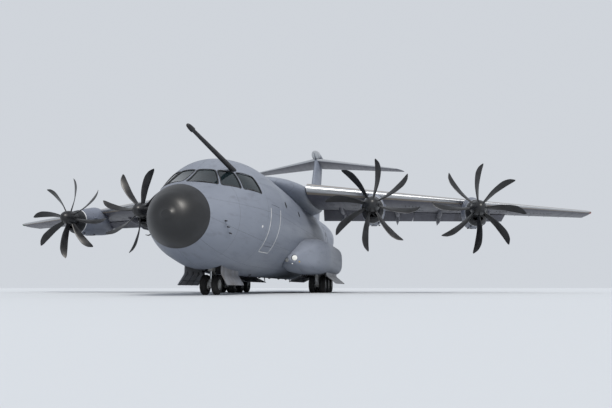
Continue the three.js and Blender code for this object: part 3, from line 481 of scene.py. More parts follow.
materials = {
    "skin": greySkin("service_grey", skinLook),
    "sponson": greySkin("sponson_grey", sponsonLook),
    "fin": greySkin("fin_grey", finLook, "height"),
    "bay": plainFinish("bay_primer", "4a4b4e", "2a2a2d", 0.7, scale=3.0),
    "radome": plainFinish("radome_black", "17181a", "232427", 0.42, scale=2.0, grain=120.0, bump=0.1),
    "propeller": plainFinish("blade_black", "121214", "202124", 0.36, scale=5.0, grain=140.0, bump=0.1),
    "guard": plainFinish("blade_guard", "55565a", "3f4043", 0.34, 0.8, 8.0, 120.0, bump=0.08),
    "metal": plainFinish("bare_metal", "a6a7a8", "7c7b79", 0.3, 0.9, 8.0, 90.0),
    "tyre": plainFinish("tyre_rubber", "1a1a1b", "2c2b2a", 0.82, scale=12.0, grain=160.0, bump=0.5),
    "gear": plainFinish("gear_white", "c6c8c9", "9c9b97", 0.42, scale=7.0),
    "hold": plainFinish("hold_lining", "a3a69f", "8b8e88", 0.7, scale=3.0),
    "interior": plainFinish("interior_grey", "4a4d50", "3a3c3f", 0.7, scale=4.0),
    "dark": plainFinish("dark_seal", "1b1b1e", "2a2a2d", 0.6, scale=10.0),
    "white": plainFinish("marking_white", "dcdcdc", "bdbcb8", 0.5, scale=14.0),
    "chrome": plainFinish("piston_chrome", "c9cbcd", "aeb0b1", 0.16, 1.0, 4.0, 60.0, bump=0.05),
    "doorOut": plainFinish("door_grey", "787a80", "5f5c5c", 0.5, scale=3.0),
    "bayLight": plainFinish("bay_frames", "6b6c6e", "3f3f42", 0.6, scale=4.0),
    "maroon": plainFinish("bay_units", "5a3336", "3b2426", 0.55, scale=6.0),
    "seat": plainFinish("seat_cloth", "3a4046", "2c3136", 0.9, scale=9.0, grain=220.0, bump=0.6),
    "screen": plainFinish("screen_glass", "0d1215", "151c20", 0.12, scale=5.0, bump=0.03),
    # the amber and blue of the small lenses at the sponsons' noses are painted glints
    "amber": plainFinish("amber_glint_lens", "c9a227", "a8841c", 0.3, scale=8.0),
    "blueGlintLens": plainFinish("blue_glint_lens", "2743a8", "1d347f", 0.3, scale=8.0),
    "redLens": plainFinish("red_lens", "8e1f1f", "701818", 0.15, scale=8.0, bump=0.05),
    "greenLens": plainFinish("green_lens", "1f7a46", "176035", 0.15, scale=8.0, bump=0.05),
    "lamp": plainFinish("lamp_glass", "f2f3ee", "dcdedc", 0.12, scale=20.0, bump=0.05, Coat_Weight=0.6),
}


def windowGlass():
    paint = Paint("tinted_glass", roughness=0.04, Transmission_Weight=0.75, IOR=1.45)
    film = paint.noise(3.0, 4.0)
    colour = paint.blend(film, tone("2a3a42"), tone("3a4a50"))
    return paint.finish(colour, film * 0.06 + 0.02, film, bump=0.02, reach=0.002)


materials["glass"] = windowGlass()

wingLook = {
    # the under tones are painted shade: darker colours for the undersides of the same grey paint
    "base": "666b76", "faded": "727782", "under": "4e4e57", "underShadeFaded": "595962",
    "grime": "403f46", "line": "2b2c31", "metal": "b9bbbe", "tan": "8f8578", "soot": "2c2a2c",
    # shares of the chord where the spars and the skins' joints lie, and the ribs' spacing across
    "spars": (0.13, 0.62), "ribs": 0.62, "lineWidth": 0.006, "metalEdge": 0.022, "tanEnd": 0.05,
    "sootAt": (3.48, 6.51),
    # the panel's middle surface, below which painted shade darkens the colour: its height at the axis and its
    # change along the span, the station of its line at the axis and that line's sweep, and how it falls aft
    # of it
    "height": (3.2195, -0.0548), "front": (-3.5694, 0.2651), "slope": 0.045,
}
flapLook = {**wingLook, "height": (3.1006, -0.0479), "front": (-1.2507, 0.0942), "slope": 0.5446}
tailLook = {**wingLook, "metalEdge": 0.03, "tanEnd": 0, "ribs": 0.55, "sootAt": (),
            "height": (6.875, 0.0), "slope": 0.0}


def wingPaint(name, look, root, tip):
    # seams lie at shares of the chord; root and tip give |x|, leading and trailing edge of a straight panel.
    # Below the panel's middle surface the colour is darkened by painted shade, and sooted
    paint = Paint(name, roughness=0.45, Specular_IOR_Level=0.4)
    (x0, lead0, trail0), (x1, lead1, trail1) = root, tip
    out = paint.x.size()

    def along(start, end):
        rate = (end - start) / (x1 - x0)
        return out * rate + (start - x0 * rate)
    lead, chord = along(lead0, lead1), along(trail0 - lead0, trail1 - lead1)
    share = (paint.y - lead) / chord
    patches = paint.noise(0.7, 5.0)
    streaks = paint.noise(2.4, 6.0, (3.5, 0.25, 3.5), 0.6)
    speck = paint.noise(90.0, 3.0)
    lines = out.linesEvery(look["ribs"], look["lineWidth"])
    for spar in look["spars"]:
        gap = ((share - spar).size() * chord).over(look["lineWidth"] * 0.35, look["lineWidth"] * 0.7)
        lines = lines.most(gap.turnedOver())
    rivets = rivetRows(paint.y, out, look["ribs"])
    soft = patches.over(0.35, 0.68)
    (height, fall), (front, sweep) = look["height"], look["front"]
    middle = out * fall + height - (paint.y - (out * sweep + front)) * look["slope"]
    # painted shade: 1 below the middle surface, where the colour turns to the darker under tones
    under = (middle - paint.z).over(0.0, 0.006)
    colour = paint.blend(under, paint.blend(soft, tone(look["base"]), tone(look["faded"])),
                         paint.blend(soft, tone(look["under"]), tone(look["underShadeFaded"])))
    for engineX in look["sootAt"]:
        beside = (out - engineX).size().over(0.12, 0.5).turnedOver()
        soot = beside * under * share.over(0.55, 0.9) * (streaks.over(0.3, 0.7) * 0.6 + 0.2)
        colour = paint.blend(soot, colour, tone(look["soot"]))
    colour = paint.blend((streaks.over(0.48, 0.76) * 0.36).most(lines * 0.6), colour, tone(look["grime"]))
    colour = paint.blend(lines * 0.55, colour, tone(look["line"]))
    if look["tanEnd"]:
        tan = share.over(look["tanEnd"] - 0.004, look["tanEnd"] + 0.004).turnedOver()
        colour = paint.blend(tan * 0.8, colour, tone(look["tan"]))
    metal = share.over(look["metalEdge"] - 0.004, look["metalEdge"] + 0.004).turnedOver()
    colour = paint.blend(metal, colour, tone(look["metal"]))
    paint.tree.links.new((metal * 0.85).out, paint.shader.inputs["Metallic"])
    rough = streaks * 0.22 + 0.34 - metal * 0.12
    return paint.finish(colour, rough, speck * 0.06 - lines + rivets * 0.35, bump=0.35, reach=0.004)


def planform(span, lead, trail):
    y = (np.array([lead, trail]) - model["midStation"]) * model["scale"]
    return (span * model["scale"], float(y[0]), float(y[1]))


wingPanel = (planform(2.9, 13.3, 20.9), planform(20.75, 19.33, 21.74))
tailPanel = (planform(0.0, 36.2, 41.05), planform(8.2, 42.1, 43.82))
materials["wing"] = wingPaint("wing_grey", wingLook, *wingPanel)
materials["flap"] = wingPaint("flap_grey", flapLook, *wingPanel)
materials["tailplane"] = wingPaint("tailplane_grey", tailLook, *tailPanel)
print("materials made")

# Fuselage

fuselage = {
    "sides": 112, "wall": 0.22, "floorTop": 1.95, "deckFloor": 3.3,
    "halfHigh": 2.82, "radomeEnd": 0.95, "deckEnd": 6.7, "forwardEnd": 12.6, "centreEnd": 21.6,
    "coneStart": 35.6, "coneEnd": 38.35, "hold": (6.9, 34.6),
    "table": [  # station, half width, belly, crown
        [-0.12, 0.24, 2.8, 3.22], [0.0, 0.58, 2.45, 3.62], [0.38, 0.98, 2.08, 4.0], [0.95, 1.31, 1.81, 4.34],
        [1.7, 1.62, 1.54, 4.68], [2.4, 1.89, 1.35, 5.08], [3.2, 2.12, 1.2, 5.62], [4.1, 2.39, 1.07, 6.08],
        [5.2, 2.62, 0.99, 6.36], [6.8, 2.78, 0.95, 6.55], [8.4, 2.82, 0.95, 6.59], [24.2, 2.82, 0.95, 6.59],
        [26.0, 2.8, 1.17, 6.59], [28.4, 2.72, 1.9, 6.58], [30.8, 2.5, 2.78, 6.57], [33.2, 2.12, 3.7, 6.55],
        [35.6, 1.66, 4.62, 6.52], [37.2, 1.17, 5.28, 6.44], [38.15, 0.78, 5.64, 6.28],
        [38.35, 0.62, 5.76, 6.18],
    ],
    # rows lie close where the skin curves along its length and wide along the straight hold
    "knots": [-0.12, 0.4, 1.2, 8.4, 24.0, 35.0, 38.35], "spacing": [0.045, 0.07, 0.14, 0.9, 0.22, 0.12],
    # rows that close the nose and the tail cone: station, and share of the ring beside them
    "noseRows": [(-0.135, 0.93), (-0.15, 0.8), (-0.162, 0.55), (-0.168, 0.22)],
    "coneRows": [(38.38, 0.93), (38.4, 0.8), (38.4, 0.62), (38.2, 0.6)],
}
seam = 0.0006  # between pieces that are fixed to each other
gap = 0.016  # round pieces that move


def fuselageStations(start, end):
    # each stretch between two knots is filled at its own spacing, and no row crowds the two ends
    stretches = zip(fuselage["knots"][:-1], fuselage["knots"][1:], fuselage["spacing"])
    inside = np.concatenate([np.arange(low, high, step) for low, high, step in stretches])
    inside = inside[(inside > start + 0.02) & (inside < end - 0.02)]
    return np.concatenate([[start], inside, [end]])


def fuselageBody(start, end, inset=0.0, floor=None, ends=(), atNose=True):
    # an oval ring at each station: x = sin a . (half width - inset),
    # z = middle + cos a . (half height - inset). ends are extra rows before the first ring or behind the last
    stations = fuselageStations(start, end)
    half, belly, crown = smoothRead(fuselage["table"], stations).T
    stations = stations[:, None]
    angle = ring(fuselage["sides"])
    x = np.sin(angle) * (half - inset)[:, None]
    tall = np.cos(angle) * ((crown - belly) / 2 - inset)[:, None]
    middle = (belly + crown) / 2
    z = middle[:, None] + tall
    edge, order = (0, 1) if atNose else (-1, -1)
    edgeX = x[edge]
    for station, share in ends:
        stations = np.vstack([[[station]], stations][::order])
        x = np.vstack([edgeX * share, x][::order])
        z = np.vstack([middle[edge] + tall[edge] * share, z][::order])
    if floor is not None:
        z = np.maximum(z, floor)
    return sleeve(np.stack([x, stations + 0 * x, z], -1))


def skinLayer(start, end, outer, inner):
    # the part of the skin between two depths, the outer one given as a negative inset where it stands proud
    return cut(fuselageBody(start, end, outer), fuselageBody(start - 0.5, end + 0.5, inner))


def skinPoints(station, degrees):
    # points of the fuselage's oval, with the direction square to the skin: the cross of its two slopes
    station, degrees = (np.atleast_1d(np.asarray(part, float)) for part in (station, degrees))
    station, degrees = np.broadcast_arrays(station, degrees)

    def at(s, d):
        half, belly, crown = smoothRead(fuselage["table"], s).T
        angle = np.radians(d)
        z = (belly + crown) / 2 + np.cos(angle) * (crown - belly) / 2
        return np.stack([half * np.sin(angle), s, z], -1)
    lengthwise = at(station + 0.03, degrees) - at(station - 0.03, degrees)
    around = at(station, degrees + 0.5) - at(station, degrees - 0.5)
    return at(station, degrees), unit(np.cross(around, lengthwise))


def skinPoint(station, degrees):
    # one such point with its direction
    points, out = skinPoints(station, degrees)
    return points[0], out[0]


def evenPath(path, step, ringed):
    # the same path of stations and degrees, read again at equal lengths so that it lies close to the skin
    path = np.asarray(path, float)
    if ringed:
        path = np.vstack([path, path[:1]])
    metres = np.diff(path, axis=0) * (1, math.radians(fuselage["halfHigh"]))
    length = np.append(0, np.cumsum(np.linalg.norm(metres, axis=1)))
    at = np.linspace(0, length[-1], max(int(length[-1] / step), 3) + 1)
    if ringed:
        at = at[:-1]
    return np.column_stack([np.interp(at, length, path[:, i]) for i in (0, 1)])


def skinStrip(path, width, lift=0.006, sink=0.02, ringed=False, step=0.03):
    # a flat strip laid along a path of stations and degrees: four corners either side of each point
    path = evenPath(path, step, ringed)
    point, out = skinPoints(path[:, 0], path[:, 1])
    ahead = np.roll(point, -1, 0) - np.roll(point, 1, 0) if ringed else np.gradient(point, axis=0)
    beside = unit(np.cross(out, ahead)) * width / 2
    rows = np.stack([point + beside + out * lift, point - beside + out * lift,
                     point - beside - out * sink, point + beside - out * sink], 1)
    return sleeve(rows, ringed)


windows = {
    "origin": (0.0, 4.3), "sill": 4.52, "head": 5.3, "corner": 0.09, "radius": 2.5, "sealWidth": 0.048,
    "panes": [(1.6, 29.0), (32.0, 60.0), (63.5, 99.0)],  # degrees from the nose: from, to
    # distances from the origin between which a pane is cut out and its seal is looked for
    "cut": (0.7, 5.0), "seal": (0.7, 4.2),
    "glass": (1.2, 5.0, 0.025, 0.06),  # stations from and to, depths of the outer and the inner face
}


def windowOutline(low, high, inset=0.0):
    # angle from the nose and height of a rounded pane, set out at the deck's mean radius
    wide = math.radians(low) * windows["radius"] + inset, math.radians(high) * windows["radius"] - inset
    outline = roundedOutline(*wide, windows["sill"] + inset, windows["head"] - inset, windows["corner"], 10)
    return outline[:, 0] / windows["radius"], outline[:, 1]


def paneWedge(low, high, side, inset=0.0):
    # the outline carried outwards along the radius from a point over the deck
    angle, z = windowOutline(low, high, inset)
    x0, y0 = windows["origin"]
    rows = [np.column_stack([side * (x0 + r * np.sin(angle)), y0 - r * np.cos(angle), z])
            for r in windows["cut"]]
    return sleeve(np.stack(rows))


def paneSeal(low, high, side):
    # the outline's places on the skin, found by halving the radius's range forty times
    angle, z = windowOutline(low, high)
    near, beyond = (np.full(len(angle), radius) for radius in windows["seal"])
    for _ in range(40):
        radius = (near + beyond) / 2
        station = windows["origin"][1] - radius * np.cos(angle)
        half, belly, crown = smoothRead(fuselage["table"], station).T
        across, up = radius * np.sin(angle) / half, (2 * z - belly - crown) / (crown - belly)
        inside = across**2 + up**2 < 1
        near, beyond = np.where(inside, radius, near), np.where(inside, beyond, radius)
    path = np.column_stack([station, side * np.degrees(np.arctan2(across, up))])
    return skinStrip(path, windows["sealWidth"], 0.01, 0.04, ringed=True)


crewDoor = {
    "front": 5.55, "back": 6.6, "sill": 2.25, "head": 4.15, "wall": 0.24,
    "tabX": 2.12, "tab": 0.1, "tabInset": 0.2,
}


def crewDoorZone(gap):
    return block(1.2, far, crewDoor["front"] - gap, crewDoor["back"] + gap,
                 crewDoor["sill"] - gap, crewDoor["head"] + gap)


noseBay = {"front": 3.75, "back": 6.3, "half": 0.85, "roof": 2.5}
flightDeck = {
    "front": 1.9, "back": 6.4,
    # boxes as x, station and z from and to: the way in behind the crew door, in the flight deck's section
    # and in the next one, and the doorway between them
    "entry": (1.35, far, 5.0, 8.0, 2.15, 4.3), "doorway": (-0.4, 0.4, 6.3, 7.7, 3.3, 5.2),
    "hallway": (-1.2, far, 5.7, 7.0, 1.95, 5.2),
}


def buildNose():
    wall = fuselage["wall"]
    radome = fuselageBody(-0.12, fuselage["radomeEnd"] - 0.006, ends=fuselage["noseRows"])
    addPiece("radome_skin", radome, "radome", ["nose_radome"])

    shell = fuselageBody(fuselage["radomeEnd"], fuselage["deckEnd"] - seam)
    deck = fuselageBody(flightDeck["front"], flightDeck["back"], wall, fuselage["deckFloor"])
    entry = keep(fuselageBody(5.4, 7.7, wall), block(*flightDeck["entry"]))
    shell = cut(shell, *(lined(room, 2) for room in (deck, entry, block(*flightDeck["doorway"]))))
    panes = [(low, high, side) for side in sides.values() for low, high in windows["panes"]]
    shell = cut(shell, *(lined(paneWedge(*pane), 3) for pane in panes))
    bay = blockAbout(0, noseBay["half"], noseBay["front"], noseBay["back"], 0, noseBay["roof"])
    shell = cut(shell, lined(bay), crewDoorZone(gap))
    addPiece("flight_deck_skin", shell, ["skin", "bay", "interior", "dark"],
             ["flight_deck_shell"])

    glass = skinLayer(*windows["glass"])
    addPiece("windscreen_panes", [keep(glass.copy(), paneWedge(*pane, 0.004)) for pane in panes],
             "glass", ["windscreen"])
    addPiece("windscreen_seals", [paneSeal(*pane) for pane in panes],
             "dark", sharp=50.0)

    door = keep(skinLayer(5.2, 7.0, 0.0, crewDoor["wall"]), crewDoorZone(0))
    tabX, tab, inset = crewDoor["tabX"], crewDoor["tab"], crewDoor["tabInset"]
    for start in (crewDoor["front"] + inset, crewDoor["back"] - inset - tab):
        low = crewDoor["sill"] - gap + seam
        door = add(door, block(tabX - tab, tabX, start, start + tab, low, crewDoor["sill"] + tab / 2))
    addPiece("crew_door_panel", door, "skin", ["crew_door"], "crew_door")


ramp = {
    "front": 24.3, "back": 29.7, "half": 1.95, "rearTop": 3.15, "endSlope": 0.7, "endHeight": 2.2,
    "tabX": 1.1, "tabHalf": 0.15, "tabLow": 1.3, "tabHigh": 1.4,
}
cargoDoor = {
    "front": 29.0, "back": 34.4, "frontHalf": 1.8, "backHalf": 1.2, "wall": 0.22, "top": 4.95,
    "tabX": 1.05, "tabHalf": 0.08, "tabLow": 4.46, "tabHigh": 4.54,
}


def aheadOfRampEnd(gap):
    low, high = -1.0, 8.0
    back = [ramp["back"] + gap - (height - ramp["endHeight"]) * ramp["endSlope"] for height in (low, high)]
    return drawnAcross([[0, low], [back[0], low], [back[1], high], [0, high]], -far, far)


def rampTop(station):
    # the ramp's upper face rises evenly from the hold's floor to its rear end
    slope = (ramp["rearTop"] - fuselage["floorTop"]) / (ramp["back"] - ramp["front"])
    return fuselage["floorTop"] + (station - ramp["front"]) * slope


def rampZone(gap):
    front, back, half = ramp["front"] - gap, 40.0, ramp["half"] + gap
    outline = [[front, -1], [back, -1], [back, rampTop(back) + gap], [front, rampTop(front) + gap]]
    return keep(drawnAcross(outline, -half, half), aheadOfRampEnd(gap))


def cargoDoorZone(gap):
    front, back = cargoDoor["front"], cargoDoor["back"] + gap
    wide, narrow = cargoDoor["frontHalf"] + gap, cargoDoor["backHalf"] + gap
    outline = [[-wide, front], [wide, front], [narrow, back], [-narrow, back]]
    return drawn(outline, 0, cargoDoor["top"], [(1, 0, 0), (0, 1, 0), (0, 0, 1)])


wingBox = {"front": 13.6, "back": 19.2, "half": 2.0, "floor": 5.85, "crown": 6.7}


def buildFuselage():
    wall, box = fuselage["wall"], wingBox
    hold = fuselageBody(*fuselage["hold"], wall, fuselage["floorTop"])
    hallway = keep(fuselageBody(6.5, 7.5, wall), block(*flightDeck["hallway"]))
    wingGap = blockAbout(0, box["half"] + seam, box["front"] - seam, box["back"] + seam,
                         box["floor"] - seam, 8)
    openings = {"forward": [lined(hallway)], "centre": [wingGap], "aft": [rampZone(gap), cargoDoorZone(gap)]}
    edges = [fuselage[key] for key in ("deckEnd", "forwardEnd", "centreEnd", "coneStart")]
    for place, start, end in zip(openings, edges[:-1], edges[1:]):
        shell = cut(fuselageBody(start, end - seam), lined(hold.copy()), *openings[place])
        addPiece(f"fuselage_{place}_skin", shell, ["skin", "hold"],
                 [f"fuselage_{place}"])
    cone = fuselageBody(fuselage["coneStart"], fuselage["coneEnd"], ends=fuselage["coneRows"], atNose=False)
    addPiece("tail_cone_skin", cone, "skin", ["tail_cone"])

    panel = keep(fuselageBody(23.8, 31.0), rampZone(0))
    for x in (-ramp["tabX"], ramp["tabX"]):
        panel = add(panel, blockAbout(x, ramp["tabHalf"], ramp["front"] - gap + seam, ramp["front"] + 0.1,
                                      ramp["tabLow"], ramp["tabHigh"]))
    addPiece("ramp_panel", panel, "skin", ["cargo_ramp"], "cargo_ramp")
    door = keep(skinLayer(28.5, 35.0, 0.0, cargoDoor["wall"]), cargoDoorZone(0))
    door = cut(door, aheadOfRampEnd(1.3 * gap))
    for x in (-cargoDoor["tabX"], cargoDoor["tabX"]):
        back, low, high = cargoDoor["back"], cargoDoor["tabLow"], cargoDoor["tabHigh"]
        door = add(door, blockAbout(x, cargoDoor["tabHalf"], back - 0.1, back + gap - seam, low, high))
    addPiece("aft_door_panel", door, "skin", ["cargo_door_aft"], "cargo_door_aft")


buildNose()
buildFuselage()
print("fuselage made")

probe = {
    "tip": (1.05, -0.98, 6.1), "base": (1.32, 3.75, 5.42),
    # share of the way to the tip and radius there: a long taper, a collar and a round-nosed nozzle
    "rows": [[0, 0.12], [0.3, 0.105], [0.6, 0.088], [0.88, 0.07], [0.9, 0.07], [0.905, 0.1], [0.93, 0.1],
             [0.96, 0.092], [0.985, 0.075], [0.996, 0.055], [1.0, 0.02]],
}


def buildProbe():
    share, radius = np.array(probe["rows"]).T
    base, tip = np.array(probe["base"]), np.array(probe["tip"])
    tube = pipe(base + share[:, None] * (tip - base), radius, 24)
    tube = cut(tube, fuselageBody(fuselage["radomeEnd"], fuselage["deckEnd"], -0.001))
    addPiece("probe_tube", tube, "dark", ["refuelling_probe"])


buildProbe()

# Wing

wing = {
    "root": 2.9, "sides": 72, "incidence": 0.045,
    "table": [  # span, leading edge, trailing edge, thickness ratio, height
        [2.9, 13.3, 20.9, 0.145, 6.28], [15.86, 17.68, 21.3, 0.12, 5.57], [20.75, 19.33, 21.74, 0.11, 5.3],
        [21.08, 19.5, 21.8, 0.09, 5.28], [21.2, 19.85, 21.8, 0.05, 5.27]],
    "fairing": [  # station, half width, bottom, top
        [10.2, 0.4, 6.3, 6.61], [11.2, 1.6, 6.0, 6.78], [12.6, 2.6, 5.5, 7.0], [14.6, 3.0, 5.3, 7.12],
        [19.4, 3.0, 5.3, 7.08], [21.4, 2.8, 5.5, 6.95], [23.2, 1.9, 5.9, 6.78], [24.8, 0.5, 6.3, 6.61]],
    # rows along the span as from, to and number, those that round the tip, and where that begins
    "spans": [(2.9, 15.86, 26), (16.2, 20.6, 9)], "roundFrom": 20.97, "roundOver": 0.232,
    "tipSpans": [20.75, 20.86, 20.97, 21.05, 21.1, 21.14, 21.17, 21.19, 21.2],
}
flap = {
    "inner": (3.2, 19.2, 6.2), "outer": (15.8, 20.35, 5.52), "drop": 0.5, "split": 6.45,
    "rest": math.radians(26), "lowest": math.radians(42), "pivot": 0.09,
}
aileron = {"inner": 16.12, "outer": 20.35, "share": 0.68}
# ailerons, elevators and rudder: their round nose, the pocket it lies in and the brackets that hold it
control = {"nose": 1.02, "pocket": 1.5, "touch": 0.004, "brackets": (0.15, 0.85), "bracketHalf": 0.05}
tracks = {
    "sides": 24, "rings": 30,
    "rows": [  # share of the length, share of the half width, bottom and top as shares of the depth
        [0.0, 0.05, 0.3, 0.1], [0.15, 0.75, 0.66, 0.02], [0.42, 1.0, 1.0, 0.0], [0.7, 0.9, 0.98, 0.0],
        [0.88, 0.5, 0.6, 0.02], [1.0, 0.06, 0.32, 0.2]],
    "table": [  # span, front station, tail station, half width, depth
        [4.6, 15.9, 21.45, 0.2, 0.76], [8.4, 16.85, 21.55, 0.2, 0.74],
        [11.25, 17.7, 21.65, 0.18, 0.71], [14.4, 18.2, 21.75, 0.17, 0.69]],
}


def sectionHalf(share, thickness):
    # half thickness of a symmetrical wing section with a closed tail, per unit of chord
    tail = -0.126 * share - 0.3516 * share**2 + 0.2843 * share**3 - 0.1036 * share**4
    return 5 * thickness * (0.2969 * np.sqrt(share) + tail)


def foil(spans, lead, trail, thickness, count, grow=0.0, tipRound=None):
    # share of the chord = (1 + cos a) / 2, height = the section's half thickness above and below.
    # tipRound thins the last rows. It gives span, station, height and reach ahead of the quarter chord
    angle = ring(count)
    share = (1 + np.cos(angle)) / 2
    chord = (trail - lead)[:, None]
    half = sectionHalf(share, thickness[:, None]) * chord
    if tipRound is not None:
        half = half * tipRound[:, None]
    half = half + grow * np.abs(np.sin(angle))
    station = lead[:, None] + share * chord + grow * np.cos(angle)
    height = np.sign(np.round(np.sin(angle), 9)) * half
    return spans[:, None] + 0 * station, station, height, (0.25 - share) * chord


def wingBody(side, grow=0.0):
    spans = np.concatenate([np.linspace(*row) for row in wing["spans"]] + [wing["tipSpans"]])
    lead, trail, thickness = straightRead(wing["table"], spans)[:3]
    tipRound = rounding(spans - wing["roundFrom"], wing["roundOver"])
    span, station, height, ahead = foil(spans, lead, trail, thickness, wing["sides"], grow, tipRound)
    level = straightRead(wing["table"], span)[3]
    return sleeve(np.stack([side * span, station, level + height + ahead * wing["incidence"]], -1))


def trackFairing(side, span, front, tail, half, depth):
    # an oval ring at each share of the length, deepest over the hinge and pointed at both ends
    share = np.linspace(0, 1, tracks["rings"])
    wide, deep, top = smoothRead(tracks["rows"], share).T
    centre = straightRead(wing["table"], span)[3]
    angle = ring(tracks["sides"])
    x = side * span + np.sin(angle) * (wide * half)[:, None]
    bottom, crown = (centre - deep * depth)[:, None], (centre - top * depth)[:, None]
    z = (bottom + crown) / 2 + np.cos(angle) * (crown - bottom) / 2
    station = (front + share * (tail - front))[:, None] + 0 * x
    return sleeve(np.stack([x, station, z], -1))


def hingeFrame(start, end):
    # columns: along the hinge, square to it towards the tail, square to both, and where it starts
    along = unit(np.asarray(end, float) - start)
    aft = unit(np.array([0.0, 1.0, 0.0]) - along * along[1])
    frameOf = np.eye(4)
    frameOf[:3, 0], frameOf[:3, 1], frameOf[:3, 2], frameOf[:3, 3] = along, aft, np.cross(along, aft), start
    return frameOf


def bar(start, end, radius, endRadius=None, count=28):
    start, end = np.asarray(start, float), np.asarray(end, float)
    return pipe([start, end], [radius, radius if endRadius is None else endRadius], count)

def crossBar(x, half, y, z, radius, count=28):
    # a round bar that lies across the aircraft
    return bar((x - half, y, z), (x + half, y, z), radius, count=count)


def longBar(x, y0, y1, z, radius, endRadius=None):
    # a round bar that lies along the aircraft
    return bar((x, y0, z), (x, y1, z), radius, endRadius)

def cutControl(body, first, last, zone, zoneGrown):
    # a control surface: what lies behind its hinge line, with a round nose in a pocket of the fixed part.
    # first and last are the two ends of the hinge line, each with the radius of the nose there
    (start, startRadius), (end, endRadius) = first, last
    start, end = np.asarray(start, float), np.asarray(end, float)
    place = hingeFrame(start, end)
    length = float(np.linalg.norm(end - start))
    touch = control["touch"]
    behind = keep(block(0, length, 0, 3, -1, 1, place), zone)
    behindGrown = keep(block(-gap, length + gap, 0, 3, -1, 1, place), zoneGrown)
    along = unit(end - start) * gap
    free = control["pocket"] * gap
    pocket = bar(start - along, end + along, startRadius + free, endRadius + free)
    for share in control["brackets"]:
        middle, half = share * length, control["bracketHalf"]
        pocket = cut(pocket, block(middle - half, middle + half, -1, 1, -1, 1, place))
    pocket = add(pocket, bar(start - along, end + along, startRadius + touch, endRadius + touch))
    moving = keep(body.copy(), add(behind, bar(start, end, startRadius, endRadius)))
    return cut(body, behindGrown, pocket), moving


def controlEnd(table, at, share):
    # station of the hinge line at a span or a height, and radius of the round nose there
    lead, trail, thickness = straightRead(table, at)[:3]
    chord = trail - lead
    return lead + share * chord, control["nose"] * sectionHalf(share, thickness) * chord


def aileronEnd(side, span):
    station, radius = controlEnd(wing["table"], span, aileron["share"])
    lead, trail, _, level = straightRead(wing["table"], span)
    height = level + (0.25 - aileron["share"]) * (trail - lead) * wing["incidence"]
    return (side * span, station, height), radius


def flapPivot(side, row, hinge, axis, share, radius):
    # a short bar on the flaps' pivot line, inside one of the track fairings
    middle = hinge + axis * ((side * row[0] - hinge[0]) / axis[0])
    half = axis * share * row[3]
    return bar(middle - half, middle + half, radius)


def buildWing(side, name):
    body = add(wingBody(side), *(trackFairing(side, *row) for row in tracks["table"]))
    body = keep(body, block(side * (wing["root"] + seam), side * far, 0, far, -far, far))
    start, end = (np.array(flap[key]) * (side, 1, 1) for key in ("inner", "outer"))
    place = hingeFrame(start, end)
    length = float(np.linalg.norm(end - start))
    hinge, axis = start - place[:3, 2] * side * flap["drop"], unit(end - start) * side
    for part, low, high in (("inner", 0, flap["split"] - gap), ("outer", flap["split"] + gap, length)):
        panel = keep(body.copy(), block(low, high, 0, 9, -far, far, place))
        for row in tracks["table"]:
            if low < row[0] - flap["inner"][0] < high:
                panel = add(panel, flapPivot(side, row, hinge, axis, 0.6, flap["pivot"]))
        turnAbout(panel, hinge, axis, -flap["rest"])
        node = f"flap_{name}_{part}"
        addPiece(f"flap_panel_{name}_{part}", panel, "flap", [node], node, bevel=0.008)
    body = cut(body, block(-1, length + gap, -gap, 9, -far, far, place))
    # the slot is free as well where the front of a fully lowered flap passes
    angle = -side * flap["lowest"]
    sweep = np.eye(4)
    sweep[1:3, 1:3] = [[math.cos(angle), -math.sin(angle)], [math.sin(angle), math.cos(angle)]]
    sweep[2, 3] = -side * flap["drop"]
    body = cut(body, block(-0.5, length + 0.5, -gap, 2 - gap, -side - 1, -side + 1, place @ sweep))
    pivotHole = flap["pivot"] + control["touch"]
    body = cut(body, *(flapPivot(side, row, hinge, axis, 0.61, pivotHole) for row in tracks["table"]))
    ends = [aileronEnd(side, aileron[key]) for key in ("inner", "outer")]
    whole = [block(-far, far, 0, far, -far, far) for _ in range(2)]
    fixed, moving = cutControl(body, *ends, *whole)
    addPiece(f"wing_panel_{name}", fixed, "wing", [f"wing_{name}"])
    node = f"aileron_{name}"
    addPiece(f"aileron_panel_{name}", moving, "wing", [node], node)


def ovalRows(table, count, spacing, centre=(0.0, 0.0, 0.0), inset=0.0):
    # an oval ring at each row of half width, bottom and top, smoothed along the length
    stations = np.arange(table[0][0], table[-1][0], spacing)
    stations = np.append(stations[stations < table[-1][0] - 0.3 * spacing], table[-1][0])
    half, bottom, top = smoothRead(table, stations).T
    angle = ring(count)
    x = centre[0] + np.sin(angle) * (half - inset)[:, None]
    z = centre[2] + ((bottom + top) / 2)[:, None] + np.cos(angle) * ((top - bottom) / 2 - inset)[:, None]
    return np.stack([x, stations[:, None] + centre[1] + 0 * x, z], -1)


def buildWingCentre():
    root, box = wing["root"] - seam, wingBox
    body = sleeve(ovalRows(wing["fairing"], 96, 0.25))
    body = keep(body, blockAbout(0, root, 0, 60, -far, far))
    body = cut(body, fuselageBody(9.5, 26.0, -0.001))
    body = add(body, blockAbout(0, box["half"], box["front"], box["back"], box["floor"], box["crown"]))
    addPiece("wing_root_fairing", body, "skin", ["wing_centre"])


buildWingCentre()
for sideName, sideSign in sides.items():
    buildWing(sideSign, sideName)
print("wing made")

# Engines

